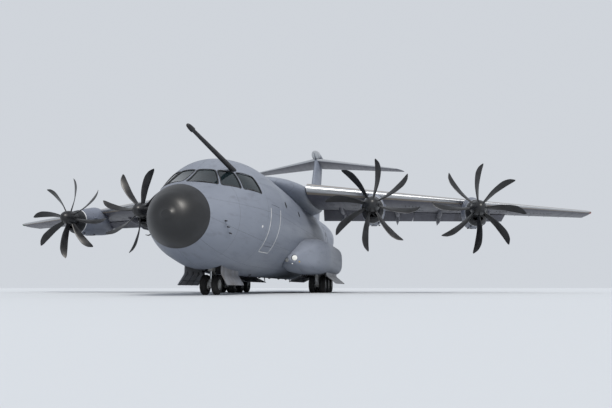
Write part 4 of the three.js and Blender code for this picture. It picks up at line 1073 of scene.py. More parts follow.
nacelle = {
    "wall": 0.08, "frontWall": 0.14, "sides": 56, "shaftHole": 0.13, "pipeHole": 0.17,
    "table": [  # distance behind the propeller plane, half width, bottom, top
        [0.36, 0.46, -0.8, 0.48], [0.75, 0.62, -0.96, 0.6], [2.0, 0.7, -0.97, 0.92],
        [3.05, 0.65, -0.88, 1.12], [4.2, 0.46, -0.76, 0.86], [4.7, 0.33, -0.68, 0.2],
        [5.0, 0.26, -0.62, -0.1]],
    "chin": (0.3, -0.68, -0.46, 0.1),  # the intake's half width, bottom, top and corner
    "ringAt": 0.98, "blackEnd": 0.93, "black": "1c1d20", "bright": "d4d6d8",
}
engines = [  # name, x, y, z, lean of the blade tips, degrees of the first blade
    ("port_outer", 13.02, 13.55, 4.9, 1, 44.7), ("port_inner", 6.96, 11.62, 4.97, -1, 31.4),
    ("starboard_inner", -6.96, 11.62, 4.97, 1, 38.5), ("starboard_outer", -13.02, 13.55, 4.9, -1, 34.6)]
spinner = {
    "nose": -0.78, "radius": 0.46,
    # radius and distance behind the propeller plane: a groove, the back and the shaft
    "rows": [[0.46, 0.05], [0.455, 0.09], [0.46, 0.12], [0.46, 0.33], [0.1, 0.33], [0.1, 0.6194],
             [0.0, 0.6194]],
}
blades = {
    "count": 8, "rows": 22, "sides": 28, "tipRound": 2.56, "guard": 0.06, "guardFrom": 1.3,
    "table": [  # radius, chord, pitch in degrees, lean, thickness ratio
        [0.38, 0.26, 66, 0.0, 0.33], [1.2, 0.43, 53, -0.05, 0.12], [1.95, 0.47, 41, 0.03, 0.075],
        [2.42, 0.34, 36, 0.2, 0.065], [2.64, 0.08, 33, 0.38, 0.08]],
}


def nacellePaint():
    # black front, a bright ring behind it, grey aft of it, measured from each pair of propeller planes
    outerPlane, innerPlane = engines[0][2], engines[1][2]

    def bands(paint, colour):
        outer = paint.x.size().over(4.9, 5.0)
        plane = outer * ((outerPlane - innerPlane) * model["scale"])
        plane = plane + (innerPlane - model["midStation"]) * model["scale"]
        behind = (paint.y - plane) / model["scale"]
        black = behind.over(nacelle["blackEnd"] - 0.01, nacelle["blackEnd"] + 0.01).turnedOver()
        bright = (behind - nacelle["ringAt"]).size().over(0.035, 0.05).turnedOver()
        colour = paint.blend(black, colour, tone(nacelle["black"]))
        return paint.blend(bright, colour, tone(nacelle["bright"]))
    look = {**skinLook, "base": "666c7a", "faded": "737987", "ringSpacing": 0.61, "seamSpacing": 0.5}
    return greySkin("nacelle_grey", look, "height", bands)


def chinOutline(x, z, steps=6):
    half, low, high, corner = nacelle["chin"]
    return roundedOutline(x - half, x + half, z + low, z + high, corner, steps)


def exhaustAt(x, y, z):
    # the middle of the nacelle's last row
    row = nacelle["table"][-1]
    return x, y + row[0], z + (row[2] + row[3]) / 2


def buildEngine(name, x, y, z):
    hub, front = (x, y, z), y + (nacelle["table"][0][0] + nacelle["frontWall"])
    tail, pipeZ = exhaustAt(*hub)[1:]
    outside = sleeve(ovalRows(nacelle["table"], nacelle["sides"], 0.08, hub))
    inside = sleeve(ovalRows(nacelle["table"], nacelle["sides"], 0.16, hub, nacelle["wall"]))
    shell = cut(outside, keep(inside, blockAbout(x, 2, front, tail - 0.1, z - 3, z + 3)))
    shell = cut(shell, longBar(x, y, front + 0.1, z, nacelle["shaftHole"]))
    shell = cut(shell, drawnAlong(chinOutline(x, z), y, front + 0.1))
    shell = cut(shell, longBar(x, tail - 0.3, tail + 0.1, pipeZ, nacelle["pipeHole"]))
    shell = cut(shell, wingBody(1 if x > 0 else -1, seam))
    addPiece(f"nacelle_cowl_{name}", shell, "nacelle", [f"nacelle_{name}"])


def bladeBody(lean, azimuth, hub):
    # the wing section laid at its pitch, leaned and narrowed as it is carried up the radius
    first, tip, last = blades["table"][0][0], blades["tipRound"], blades["table"][-1][0]
    tipRows = tip + (last - tip) * np.sin(np.linspace(0.3, math.pi / 2, 6))
    radius = np.append(np.linspace(first, tip, blades["rows"]), tipRows)
    chord, pitch, leanOffset, thickness = smoothRead(blades["table"], radius).T[:, :, None]
    chord = chord * rounding(radius - tip, last - tip + 0.001, 0.01)[:, None]
    pitch = np.radians(pitch)
    angle = ring(blades["sides"])
    share = (1 + np.cos(angle)) / 2
    half = np.sign(np.round(np.sin(angle), 9)) * sectionHalf(share, thickness) * chord
    along = (share - 0.4) * chord
    across = lean * (along * np.cos(pitch) + half * np.sin(pitch) + leanOffset)
    aft = along * np.sin(pitch) - half * np.cos(pitch)
    up = radius[:, None] + 0 * across
    spin = math.radians(azimuth)
    x = across * math.cos(spin) + up * math.sin(spin)
    z = -across * math.sin(spin) + up * math.cos(spin)
    # a metal strip guards the outer part of the leading edge
    edge = share < blades["guard"]
    guard = edge & np.roll(edge, -1) & (radius[1:, None] > blades["guardFrom"])
    return sleeve(np.stack([x, aft, z], -1) + np.array(hub), finish=guard.astype(np.int32))


def buildPropeller(name, x, y, z, lean, phase):
    quarter = np.linspace(0, math.pi / 2, 16)
    nose = np.column_stack([spinner["radius"] * np.sin(quarter), spinner["nose"] * np.cos(quarter)])
    body = turned(np.vstack([nose, spinner["rows"]]), (x, y, z), count=64)
    for i in range(blades["count"]):
        body = add(body, bladeBody(lean, 90 - phase - 360 / blades["count"] * i, (x, y, z)))
    node = f"propeller_{name}"
    addPiece(f"propeller_blades_{name}", body, ["propeller", "guard"], [node], node)


materials["nacelle"] = nacellePaint()
for engine in engines:
    buildEngine(*engine[:4])
    buildPropeller(*engine)
print("engines made")

# Sponsons

sponson = {
    "squareness": 0.62, "sides": 72, "roundFrom": 23.0, "roundOver": 0.4,
    "table": [  # station, inner x, outer x, bottom, top
        [11.0, 2.2, 2.5, 1.75, 2.05], [11.7, 1.7, 3.15, 1.42, 2.55], [13.0, 1.5, 3.85, 1.2, 3.1],
        [15.0, 1.4, 4.25, 1.15, 3.35], [21.2, 1.4, 4.25, 1.15, 3.35], [22.4, 1.5, 3.75, 1.35, 3.1],
        [23.4, 1.8, 3.0, 1.7, 2.5]],
    "tip": [2.35, 2.35, 1.92, 1.92],  # the first row, drawn in to the point of the nose
    "bay": {"front": 15.4, "back": 20.95, "inner": 2.2, "outer": 3.86, "roof": 2.75},
}
lampsLook = {
    # x, station, z and radius of each light, in a recess of the sponson's nose
    "lights": [(2.62, 11.2, 1.99, 0.15), (2.2, 11.2, 1.87, 0.11)], "recess": 1.12,
    # x, station, z, radius and finish number of the small lenses beside them, whose amber, white and blue
    # colours are painted glints
    "lenses": [(2.86, 11.3, 1.78, 0.034, 2), (2.08, 11.12, 2.12, 0.034, 4), (2.5, 11.14, 1.68, 0.034, 3)],
}


def buildSponson(side, name):
    # squared ovals: sines and cosines raised to a power below one, smoothed along the length.
    # The table is read against the square root of the distance from the tip, which rounds the front,
    # and the rear end closes as a quarter circle
    tip, rear = sponson["table"][0][0], sponson["roundFrom"]
    stations = np.concatenate([
        tip + np.linspace(0.03, 1.42, 26) ** 2, np.linspace(13.2, 15.2, 8), np.linspace(16.5, 20.9, 4),
        np.linspace(21.2, rear, 12),
        rear + sponson["roundOver"] * np.sin(np.linspace(0.1, math.pi / 2, 12))])
    table = np.array([[tip] + sponson["tip"]] + sponson["table"][1:])
    table[:, 0] = np.sqrt(table[:, 0] - tip)
    inner, outer, bottom, top = smoothRead(table, np.sqrt(stations - tip)).T[:, :, None]
    shrink = rounding(stations - rear, sponson["roundOver"] + 0.002)[:, None]
    angle = ring(sponson["sides"])
    power = sponson["squareness"]
    x = side * ((inner + outer) / 2 + shrink * squared(np.sin(angle), power) * (outer - inner) / 2)
    z = (bottom + top) / 2 + shrink * squared(np.cos(angle), power) * (top - bottom) / 2
    body = sleeve(np.stack([x, stations[:, None] + 0 * x, z], -1))
    body = cut(body, fuselageBody(10.0, 25.0, -0.001))
    bay = sponson["bay"]
    well = block(side * bay["inner"], side * bay["outer"], bay["front"], bay["back"], 0, bay["roof"])
    for lightX, station, height, radius in lampsLook["lights"]:
        recess = longBar(side * lightX, tip - 0.5, station + 0.05, height, radius * lampsLook["recess"])
        body = cut(body, lined(recess, 2))
    addPiece(f"sponson_skin_{name}", cut(body, lined(well)), ["sponson", "bay", "dark"],
             [f"sponson_{name}"])


for sideName, sideSign in sides.items():
    buildSponson(sideSign, sideName)
print("sponsons made")

# Wheels and legs

mainGear = {
    "x": 3.08, "stations": [16.85, 18.5, 20.15], "radius": 0.55, "tyre": 0.39, "twin": 0.36, "rim": 0.28,
}
noseGear = {"y": 4.9, "radius": 0.46, "tyre": 0.3, "twin": 0.27, "rim": 0.23}
wheelLook = {
    "sides": 72, "shoulder": 0.55, "crown": 0.6, "tuck": 0.14, "axle": 0.066, "axleBore": 0.071,
    "grooves": [-0.56, -0.19, 0.19, 0.56], "grooveWidth": 0.016, "grooveDepth": 0.014,
    # radius and reach from the wheel's middle plane, for the main wheels' rim
    "face": [[0.0, 0.125], [0.045, 0.125], [0.052, 0.115], [0.085, 0.108], [0.09, 0.075], [0.12, 0.055],
             [0.165, 0.04], [0.21, 0.03], [0.24, 0.045], [0.256, 0.11], [0.264, 0.158], [0.286, 0.166]],
    "back": [[0.286, -0.166], [0.262, -0.158], [0.25, -0.08], [0.2, -0.06], [0.2, -0.15], [0.09, -0.15],
             [0.0, -0.15]],
    "hollows": 9, "hollowRing": 0.165, "hollowWidth": 0.032, "hollowDepth": 0.034,
    "bolts": 10, "boltRing": 0.105, "bolt": [[0, 0.04], [0.013, 0.04], [0.013, 0.082], [0, 0.082]],
}


def tyreBody(size, x, y, outward):
    # round shouldered section: height above the bead = (radius - rim) . sin^0.6, half width . cos^0.55,
    # with a groove pressed into the tread at each place
    half, radius, rim = size["tyre"] / 2, size["radius"], size["rim"]
    angle = np.linspace(0.0, math.pi, 66)
    tall = np.sin(angle) ** wheelLook["crown"]
    reach = half * squared(np.cos(angle), wheelLook["shoulder"])
    reach = reach * (1 - wheelLook["tuck"] * (1 - tall) ** 2)
    outside = rim + (radius - rim) * tall
    for place in wheelLook["grooves"]:
        across = (reach - place * half) / wheelLook["grooveWidth"]
        outside -= wheelLook["grooveDepth"] * np.exp(-(across**4))
    bead = [[rim - 0.006, -0.8 * half], [rim - 0.006, 0.8 * half]]
    profile = np.vstack([np.column_stack([outside, reach]), bead])
    return turned(profile, (x, y, radius), (outward, 0, 0), wheelLook["sides"], ringed=True)


def rimBody(size, x, y, outward):
    # a dished disc with nine pressed hollows, deepest where cos(9 a) peaks round a ring of its face
    grow = size["rim"] / mainGear["rim"]

    def hollows(radius, reach, angle):
        across = (radius / grow - wheelLook["hollowRing"]) / wheelLook["hollowWidth"]
        deep = wheelLook["hollowDepth"] * (np.exp(-(across**2)) * (reach > 0))
        return radius, reach - deep * np.clip(np.cos(wheelLook["hollows"] * angle) + 0.25, 0, 1) ** 0.6
    face = np.array(wheelLook["face"])
    fine = np.linspace(0, len(face) - 1, 30)
    face = np.column_stack([np.interp(fine, np.arange(len(face)), face[:, i]) for i in (0, 1)])
    profile = np.vstack([face, wheelLook["back"]]) * (grow, 1.0)
    profile[:, 1] *= size["tyre"] / mainGear["tyre"]
    hub, axis = (x, y, size["radius"]), (outward, 0, 0)
    parts = [lined(turned(profile, hub, axis, wheelLook["sides"], swell=hollows))]
    for angle in ring(wheelLook["bolts"]):
        spot = np.array([0, math.cos(angle), math.sin(angle)]) * wheelLook["boltRing"] * grow + hub
        parts.append(lined(turned(wheelLook["bolt"], spot, axis, 6)))
    return parts


def buildWheels(name, size, x, y):
    parts = [lined(crossBar(x, size["twin"], y, size["radius"], wheelLook["axle"]))]
    for outward in (1, -1):
        spot = x + outward * size["twin"]
        parts += [tyreBody(size, spot, y, outward)] + rimBody(size, spot, y, outward)
    addPiece(f"{name}_tyres", parts, ["tyre", "gear"], [name], name)


legLook = {
    "roof": 2.75, "setBack": 0.25, "armHalf": 0.105, "braceZ": 1.95, "linkHalf": 0.075, "eye": 0.155,
    # radius and height of the turned leg, of the chrome rod in it and of its foot
    "leg": [[0.15, 2.62], [0.15, 2.5], [0.115, 2.47], [0.115, 1.78], [0.138, 1.76], [0.138, 1.66],
            [0.1, 1.64]],
    "rod": [[0.07, 1.66], [0.07, 1.1]], "foot": [[0.105, 1.16], [0.12, 1.1], [0.12, 0.92], [0.08, 0.86]],
    # the trailing arm from the side, round the axle
    "arm": [[-0.38, 0.62], [-0.4, 0.22], [-0.16, -0.13], [-0.02, -0.19], [0.13, -0.15], [0.19, 0.0],
            [0.13, 0.14], [-0.02, 0.2], [-0.16, 0.62]],
    # points of each hose, from the leg's foot on the ground
    "hoses": [[(0.1, -0.12, 2.4), (0.16, -0.16, 1.7), (0.15, -0.22, 1.2), (0.11, 0.13, 0.78)],
              [(-0.1, -0.12, 2.4), (-0.15, -0.2, 1.8), (-0.13, -0.26, 1.25), (-0.11, 0.11, 0.8)]],
}


def uprightRod(profile, x, y, finish=0, count=36):
    rows = np.array(profile, float)
    rows = np.vstack([[0, rows[0, 1]], rows, [0, rows[-1, 1]]])
    return lined(turned(rows, (x, y, 0), (0, 0, 1), count), finish)


def hose(points, radius=0.016):
    # a smooth curve through a few points: cubic through the rows, taken at even steps
    table = np.column_stack([np.arange(len(points)), points])
    path = smoothRead(table, np.linspace(0, len(points) - 1, 8 * len(points)))
    return lined(pipe(path, radius, 10), 2)


def torqueLink(x, y, knee, top, foot, aft):
    # two tapered plates that meet at a knee pin, each an outline drawn across the leg
    half, near, pin = legLook["linkHalf"], y + aft * 0.1, y + aft * knee[0]
    parts = []
    for end in (top, foot):
        outline = [[near, end + 0.05], [pin, knee[1] + 0.035], [pin, knee[1] - 0.035], [near, end - 0.05]]
        parts.append(drawnAcross(outline, x - half, x + half))
    return parts + [crossBar(x, half + 0.02, pin, knee[1], 0.032)]


def buildMainLegs(side, name):
    x, radius = side * mainGear["x"], mainGear["radius"]
    first, last = mainGear["stations"][0] - 0.4, mainGear["stations"][-1] + 0.4
    roof = legLook["roof"] - 0.001
    # a channel in the bay's roof carries the legs
    parts = [block(start, end, first, last, roof - 0.2, roof)
             for start, end in ((x - 0.2, x - 0.13), (x + 0.13, x + 0.2))]
    parts.append(blockAbout(x, 0.2, first, last, roof - 0.05, roof))
    for station in mainGear["stations"]:
        y = station - legLook["setBack"]
        parts += [uprightRod(legLook["leg"], x, y), uprightRod(legLook["rod"], x, y, 1),
                  uprightRod(legLook["foot"], x, y)]
        parts.append(blockAbout(x, 0.17, y - 0.14, y + 0.14, roof - 0.26, roof - 0.04))
        outline = np.array(legLook["arm"]) + (station, radius)
        arm = drawnAcross(outline, x - legLook["armHalf"], x + legLook["armHalf"])
        arm = add(arm, crossBar(x, 0.118, station, radius, legLook["eye"], 36))
        parts.append(cut(arm, crossBar(x, 1, station, radius, wheelLook["axleBore"])))
        parts += torqueLink(x, y, (0.34, 1.42), 1.72, 1.0, -1)
        wall = (side * 2.32, y + 0.1, 2.55)
        parts += [bar((x, y, legLook["braceZ"]), wall, 0.045), bar(wall, (side * 2.21, y + 0.1, 2.6), 0.075)]
        parts += [hose(np.array(route) + (x, y, 0)) for route in legLook["hoses"]]
    addPiece(f"main_leg_struts_{name}", parts, ["gear", "chrome", "dark"],
             [f"main_legs_{name}"], bevel=0.004)


noseLegLook = {
    "fixed": [[0.17, 2.49], [0.17, 2.38], [0.135, 2.36], [0.135, 1.42], [0.15, 1.4], [0.15, 1.28],
              [0.12, 1.225]],
    "collar": [[0.12, 1.215], [0.165, 1.2], [0.165, 1.08], [0.12, 1.06]],
    "rod": [[0.075, 1.1], [0.075, 0.6]], "foot": [[0.1, 0.72], [0.11, 0.66], [0.11, 0.46], [0.08, 0.4]],
    "hoses": [[(0.12, 0.12, 2.3), (0.17, 0.15, 1.9), (0.15, 0.16, 1.5), (0.1, 0.14, 1.32)],
              [(-0.12, 0.12, 2.3), (-0.15, 0.17, 1.8), (-0.12, 0.15, 1.34)]],
    "eye": 0.15, "lampRadius": 0.095,
}


def lampBody(spot, axis, radius):
    # a parabolic shell with a flat glass in front: reach behind the glass = depth . (1 - (r / radius)^2)
    share = np.linspace(0, 1, 9)
    shell = np.column_stack([radius * share, -0.16 * (radius / 0.13) * (1 - share**2)])
    bezel = [[radius * 1.06, 0.0], [radius * 1.06, 0.02], [radius * 0.97, 0.02], [0.0, 0.012]]
    glass = np.column_stack([radius * 0.95 * share[::-1], 0.024 + 0.012 * (1 - share[::-1] ** 2)])
    glass = np.vstack([[[0, 0.008], [radius * 0.95, 0.008]], glass])
    return [turned(np.vstack([shell, bezel]), spot, axis, 28), lined(turned(glass, spot, axis, 28), 3)]


def buildNoseLeg():
    y, radius = noseGear["y"], noseGear["radius"]
    parts = [uprightRod(noseLegLook["fixed"], 0, y, count=44)]
    parts.append(blockAbout(0, 0.3, y - 0.3, y + 0.3, 2.35, 2.499))
    for side in (1, -1):
        brace = (side * 0.6, y - 0.95, 2.42)
        parts += [bar((side * 0.12, y - 0.05, 1.62), brace, 0.05),
                  bar(brace, (side * 0.8, y - 0.95, 2.44), 0.07),
                  bar((side * 0.1, y, 2.05), (side * 0.74, y, 2.36), 0.04)]
        parts += lampBody((side * 0.24, y - 0.14, 1.52), (0, -1, -0.04), noseLegLook["lampRadius"])
        parts.append(block(side * 0.1, side * 0.24, y - 0.08, y - 0.02, 1.5, 1.54))
    parts += [hose(np.array(route) + (0, y, 0)) for route in noseLegLook["hoses"]]
    parts += [longBar(side * 0.16, y - 0.2, y + 0.22, 1.34, 0.05) for side in (1, -1)]
    addPiece("nose_leg_upper", parts, ["gear", "chrome", "dark", "lamp"],
             ["nose_leg_fixed"], bevel=0.004)
    parts = [uprightRod(noseLegLook["collar"], 0, y, count=44), uprightRod(noseLegLook["rod"], 0, y, 1),
             uprightRod(noseLegLook["foot"], 0, y)]
    eye = crossBar(0, 0.1, y, radius, noseLegLook["eye"], 36)
    parts.append(cut(eye, crossBar(0, 1, y, radius, wheelLook["axleBore"])))
    parts += torqueLink(0, y, (0.42, 0.86), 1.12, 0.56, 1)
    parts.append(bar((-0.1, y - 0.15, 0.52), (-0.1, y - 0.22, 0.3), 0.02))
    addPiece("nose_leg_lower", parts, ["gear", "chrome"], ["nose_leg_steered"], "nose_leg",
             bevel=0.004)
    buildWheels("nose_wheels", noseGear, 0, y)


doorLook = {
    "plate": 0.05, "mainRibs": 7, "noseRibs": 4, "ribHalf": 0.018, "hingeZ": 1.33,
    # x out from the bay's edge and z: lip inside the bay, bend, free edge
    "outer": [[0, 1.36], [0, 1.12], [0.6, 0.62]], "inner": [[0, 1.36], [0, 1.12], [0.78, 0.74]],
    "nose": [[0, 1.3], [0, 0.93], [0.3, 0.45]],
}


def buildDoor(nodeName, side, bayEdge, outward, line, bay, ribs):
    # a plate round a parabola at the bend = (1 - s)^2 near + 2 s (1 - s) bend + s^2 beyond, with ribs that
    # swell in the middle, a long beam and hinges on its inner face
    front, back, thin = bay["front"], bay["back"], doorLook["plate"]
    top, bend, edge = (np.array([bayEdge + outward * (out - seam), z]) for out, z in doorLook[line])
    share = np.linspace(0, 1, 7)[:, None]
    near = bend + (top - bend) * 0.3
    beyond = bend + (edge - bend) * 0.12
    curve = (1 - share) ** 2 * near + 2 * share * (1 - share) * bend + share**2 * beyond
    outside = np.vstack([top, curve, edge])
    along = unit(np.gradient(outside, axis=0))
    square = np.column_stack([along[:, 1], -along[:, 0]])
    square *= np.sign(np.sum(square * (-outward, -0.2), 1))[:, None]
    inside = outside + square * thin * 0.86
    parts = [drawnAlong(np.vstack([outside, inside[::-1]]) * (side, 1), front + thin, back - thin)]
    deep = outside + square * thin * 2.4 * np.sin(np.linspace(0.35, math.pi - 0.2, len(outside)))[:, None]
    rib = np.vstack([inside[1:], deep[:0:-1]]) * (side, 1)
    for station in np.linspace(front + 0.25, back - 0.25, ribs):
        parts.append(lined(drawnAlong(rib, station - doorLook["ribHalf"], station + doorLook["ribHalf"])))
    beam = (inside[-1] * 0.55 + inside[-2] * 0.45) * (side, 1)
    parts.append(lined(longBar(beam[0], front + 0.2, back - 0.2, beam[1] + 0.02, 0.022)))
    hingeX = bayEdge * side - side * outward * 0.05
    for station in np.linspace(front + 0.5, back - 0.5, 3):
        parts.append(lined(longBar(hingeX, station - 0.06, station + 0.06, doorLook["hingeZ"], 0.035)))
    addPiece(nodeName + "_panel", parts, ["doorOut", "bay"], [nodeName], bevel=0.003)


bayLook = {
    "wallFoot": 1.42, "frameStep": 0.52, "frameHalf": 0.02, "frameDeep": 0.055, "units": 9,
    # distance from the bay's side, height, radius and finish number
    "mainPipes": [(0.14, 2.6, 0.025, 1), (0.2, 2.62, 0.018, 2), (0.25, 2.62, 0.018, 3),
                  (1.45, 2.58, 0.028, 1), (0.08, 1.9, 0.016, 2), (1.58, 2.0, 0.016, 1)],
    "nosePipes": [(0.12, 2.38, 0.02, 1), (0.2, 2.4, 0.016, 3), (1.5, 2.38, 0.024, 2), (1.58, 1.9, 0.016, 1)],
}


def bayFittings(name, edges, bay, pipes, seed):
    # frames up the walls and over the roof, pipes along the bay, small units with their hoses on the walls
    (low, high), front, back, roof = sorted(edges), bay["front"], bay["back"], bay["roof"]
    chance = np.random.default_rng(seed)
    half, deep, top = bayLook["frameHalf"], bayLook["frameDeep"], roof - 0.002
    parts = []
    for station in np.arange(front + 0.3, back - 0.1, bayLook["frameStep"]):
        y = (station - half, station + half)
        parts += [block(low, low + deep, *y, bayLook["wallFoot"], top),
                  block(high, high - deep, *y, bayLook["wallFoot"], top),
                  block(low, high, *y, roof - deep, top)]
    for across, height, radius, finish in pipes:
        parts.append(lined(longBar(low + across, front + 0.06, back - 0.06, height, radius), finish))
    for _ in range(bayLook["units"]):
        y = chance.uniform(front + 0.3, back - 0.7)
        edge, into = ((low, 1), (high, -1))[chance.integers(2)]
        wide, deep, tall = chance.uniform(0.1, 0.2), chance.uniform(0.15, 0.4), chance.uniform(0.12, 0.3)
        z = chance.uniform(1.6, roof - 0.5)
        finish = (0, 1, 3)[chance.integers(3)]
        parts.append(lined(block(edge, edge + into * wide, y, y + deep, z, z + tall), finish))
        parts.append(hose([(edge + into * wide * 0.5, y, z + 0.02), (edge + into * 0.1, y - 0.15, z - 0.1),
                           (edge + into * 0.07, y - 0.26, z + 0.1)], 0.012))
    addPiece(name, parts, ["bayLight", "gear", "dark", "maroon"], bevel=0.003)


for sideName, sideSign in sides.items():
    mainBay = sponson["bay"]
    buildMainLegs(sideSign, sideName)
    for order, station in zip(("front", "middle", "rear"), mainGear["stations"]):
        buildWheels(f"main_wheels_{sideName}_{order}", mainGear, sideSign * mainGear["x"], station)
    for key, outward in (("outer", 1), ("inner", -1)):
        buildDoor(f"main_door_{sideName}_{key}", sideSign, mainBay[key], outward, key, mainBay,
                  doorLook["mainRibs"])
    buildDoor(f"nose_door_{sideName}", sideSign, noseBay["half"], 1, "nose", noseBay, doorLook["noseRibs"])
    bayFittings(f"main_bay_fittings_{sideName}", [sideSign * mainBay[key] for key in ("inner", "outer")],
                mainBay, bayLook["mainPipes"], 11 + sideSign)
buildNoseLeg()
bayFittings("nose_bay_fittings", (-noseBay["half"], noseBay["half"]), noseBay, bayLook["nosePipes"], 5)
print("landing gear made")

# Tail

tail = {
    "fin": [[6.2, 30.9, 38.2, 0.1], [7.4, 32.1, 38.7, 0.1], [13.8, 36.2, 41.1, 0.1]],  # height, edges, ratio
    "plane": [  # span, edges, thickness ratio
        [0.0, 36.2, 41.05, 0.11], [8.2, 42.1, 43.82, 0.1], [8.9, 43.0, 44.06, 0.09],
        [9.3, 43.8, 44.12, 0.08]],
    "bullet": [[35.0, 0.05], [35.4, 0.25], [36.6, 0.46], [39.6, 0.46], [41.6, 0.28], [42.6, 0.05]],
    "planeHeight": 13.75, "bulletHeight": 14.24, "finFoot": 6.3, "finHead": 14.05,
    "rudder": {"share": 0.7, "foot": 6.95, "head": 13.2, "tail": 0.25},
    "elevator": {"share": 0.68, "inner": 0.75, "outer": 8.1, "tail": 0.15},
    # spans and heights of the rows of points, the span up to which the edges are straight, and where
    # the tips begin to round
    "planeRows": (0, 8.2, 18), "tipRows": [8.45, 8.7, 8.9, 9.05, 9.15, 9.22, 9.27, 9.3], "straightTo": 8.2,
    "finRows": [(6.2, 7.4, 12), (7.7, 13.8, 20)], "roundFrom": 9.15, "roundOver": 0.152, "sides": 56,
    "bulletRows": [(35.0, 35.6, 10), (35.8, 42.0, 20), (42.2, 42.6, 5)],
}


def bulletBody(grow=0.0):
    stations = np.concatenate([np.linspace(*row) for row in tail["bulletRows"]])
    radius = smoothRead(tail["bullet"], stations)[:, 0]
    return turned(np.column_stack([radius + grow, stations]), (0, 0, tail["bulletHeight"]), count=48)


def tailplaneBody(grow=0.0):
    half = np.concatenate([np.linspace(*tail["planeRows"]), tail["tipRows"]])
    spans = np.concatenate([-half[:0:-1], half])
    out = np.abs(spans)
    lead, trail, thickness = smoothRead(tail["plane"], out).T
    straight = straightRead(tail["plane"], out)
    lead = np.where(out < tail["straightTo"], straight[0], lead)
    trail = np.where(out < tail["straightTo"], straight[1], trail)
    tipRound = rounding(out - tail["roundFrom"], tail["roundOver"], 0.02)
    span, station, height = foil(spans, lead, trail, thickness, tail["sides"], grow, tipRound)[:3]
    return add(sleeve(np.stack([span, station, tail["planeHeight"] + height], -1)), bulletBody(grow))


def finBody():
    heights = np.concatenate([np.linspace(*row) for row in tail["finRows"]])
    span, station, height = foil(heights, *straightRead(tail["fin"], heights), tail["sides"])[:3]
    return sleeve(np.stack([height, station, span], -1))


def rudderEnd(height):
    station, radius = controlEnd(tail["fin"], height, tail["rudder"]["share"])
    return (0, station, height), radius


def elevatorEnd(side, span):
    station, radius = controlEnd(tail["plane"], span, tail["elevator"]["share"])
    return (side * span, station, tail["planeHeight"]), radius


def buildTail():
    fin = cut(finBody(), fuselageBody(30.0, fuselage["coneEnd"], -0.001), tailplaneBody(seam))
    fin = keep(fin, block(-far, far, 0, 60, tail["finFoot"], tail["finHead"]))
    shape = tail["rudder"]
    zones = [block(-far, far, 0, 60, shape["foot"] - shape["tail"] - grow, shape["head"] + grow)
             for grow in (0, gap)]
    fin, rudder = cutControl(fin, rudderEnd(shape["foot"]), rudderEnd(shape["head"]), *zones)
    addPiece("fin_panel", fin, "fin", ["fin"])
    addPiece("rudder_panel", rudder, "fin", ["rudder"], "rudder")

    plane, shape = tailplaneBody(), tail["elevator"]
    for name, side in sides.items():
        zones = [block(side * (shape["inner"] - shape["tail"] - grow), side * far, 0, 60, 0, 20)
                 for grow in (0, gap)]
        ends = [elevatorEnd(side, shape[key]) for key in ("inner", "outer")]
        plane, moving = cutControl(plane, *ends, *zones)
        node = f"elevator_{name}"
        addPiece(f"elevator_panel_{name}", moving, "tailplane", [node], node)
    addPiece("tailplane_panel", plane, "tailplane", ["tailplane"])


buildTail()
print("tail made")

# Flight deck and hold

deckLook = {
    "floor": 3.36, "seatX": 0.62, "screens": 5, "screenX": 0.82, "leverX": 0.05, "armX": 0.29,
    # blocks and cushions: half width, station from and to, height over the floor from and to
    "pedestal": (0.2, 2.9, 4.15, -0.01, 0.5), "screen": (0.15, 2.955, 2.985, 0.48, 0.76),
    "keys": (0.16, 3.1, 3.45, 0.49, 0.51), "lever": (0.02, 3.6, 3.68, 0.48, 0.62),
    "seatFoot": (0.16, 3.92, 4.28, -0.01, 0.24), "arm": (0.03, 3.95, 4.35, 0.52, 0.57),
    "cushions": [(0.26, 3.76, 4.32, 0.22, 0.42), (0.25, 4.27, 4.43, 0.4, 1.1),
                 (0.15, 4.29, 4.41, 1.08, 1.32)],
    # outline of the hood over the panel: station and height over the floor
    "hood": [[2.62, 0.5], [2.66, 0.86], [2.95, 0.95], [3.2, 0.9], [3.18, 0.86], [3.0, 0.84], [2.96, 0.3],
             [2.7, 0]],
}


def cushion(x, half, y0, y1, z0, z1):
    # a padded block: superellipse rings of power 4 that draw in towards both ends
    level = np.linspace(-1, 1, 14)
    shrink = (1 - np.abs(level) ** 5) ** 0.2
    shrink[[0, -1]] = 0.25
    angle = ring(32)
    across = x + half * shrink[:, None] * squared(np.cos(angle), 0.5)
    y = (y0 + y1) / 2 + (y1 - y0) / 2 * shrink[:, None] * squared(np.sin(angle), 0.5)
    z = (z0 + z1) / 2 + (z1 - z0) / 2 * level[:, None] + 0 * across
    return sleeve(np.stack([across, y, z], -1))


def buildDeck():
    floor = deckLook["floor"]

    def onFloor(key, x=0.0):
        half, y0, y1, low, high = deckLook[key]
        return blockAbout(x, half, y0, y1, floor + low, floor + high)
    parts = [block(-1.3, 1.3, 2.6, 5.7, fuselage["deckFloor"] + seam, floor)]
    parts += [drawnAcross(np.array(deckLook["hood"]) + (0, floor), -1.05, 1.05), onFloor("pedestal")]
    for x in np.linspace(-deckLook["screenX"], deckLook["screenX"], deckLook["screens"]):
        parts.append(lined(onFloor("screen", x), 2))
    parts.append(lined(onFloor("keys"), 2))
    parts += [onFloor("lever", x) for x in (-deckLook["leverX"], deckLook["leverX"])]
    for side in (-1, 1):
        x = side * deckLook["seatX"]
        parts.append(onFloor("seatFoot", x))
        for half, y0, y1, low, high in deckLook["cushions"]:
            parts.append(lined(cushion(x, half, y0, y1, floor + low, floor + high)))
        parts += [onFloor("arm", x + arm) for arm in (-deckLook["armX"], deckLook["armX"])]
        parts.append(bar((x + 0.42 * side, 3.85, floor + 0.5), (x + 0.4 * side, 3.8, floor + 0.68), 0.025))
    addPiece("flight_deck_fittings", parts, ["interior", "seat", "screen"],
             ["flight_deck_interior"], bevel=0.004)


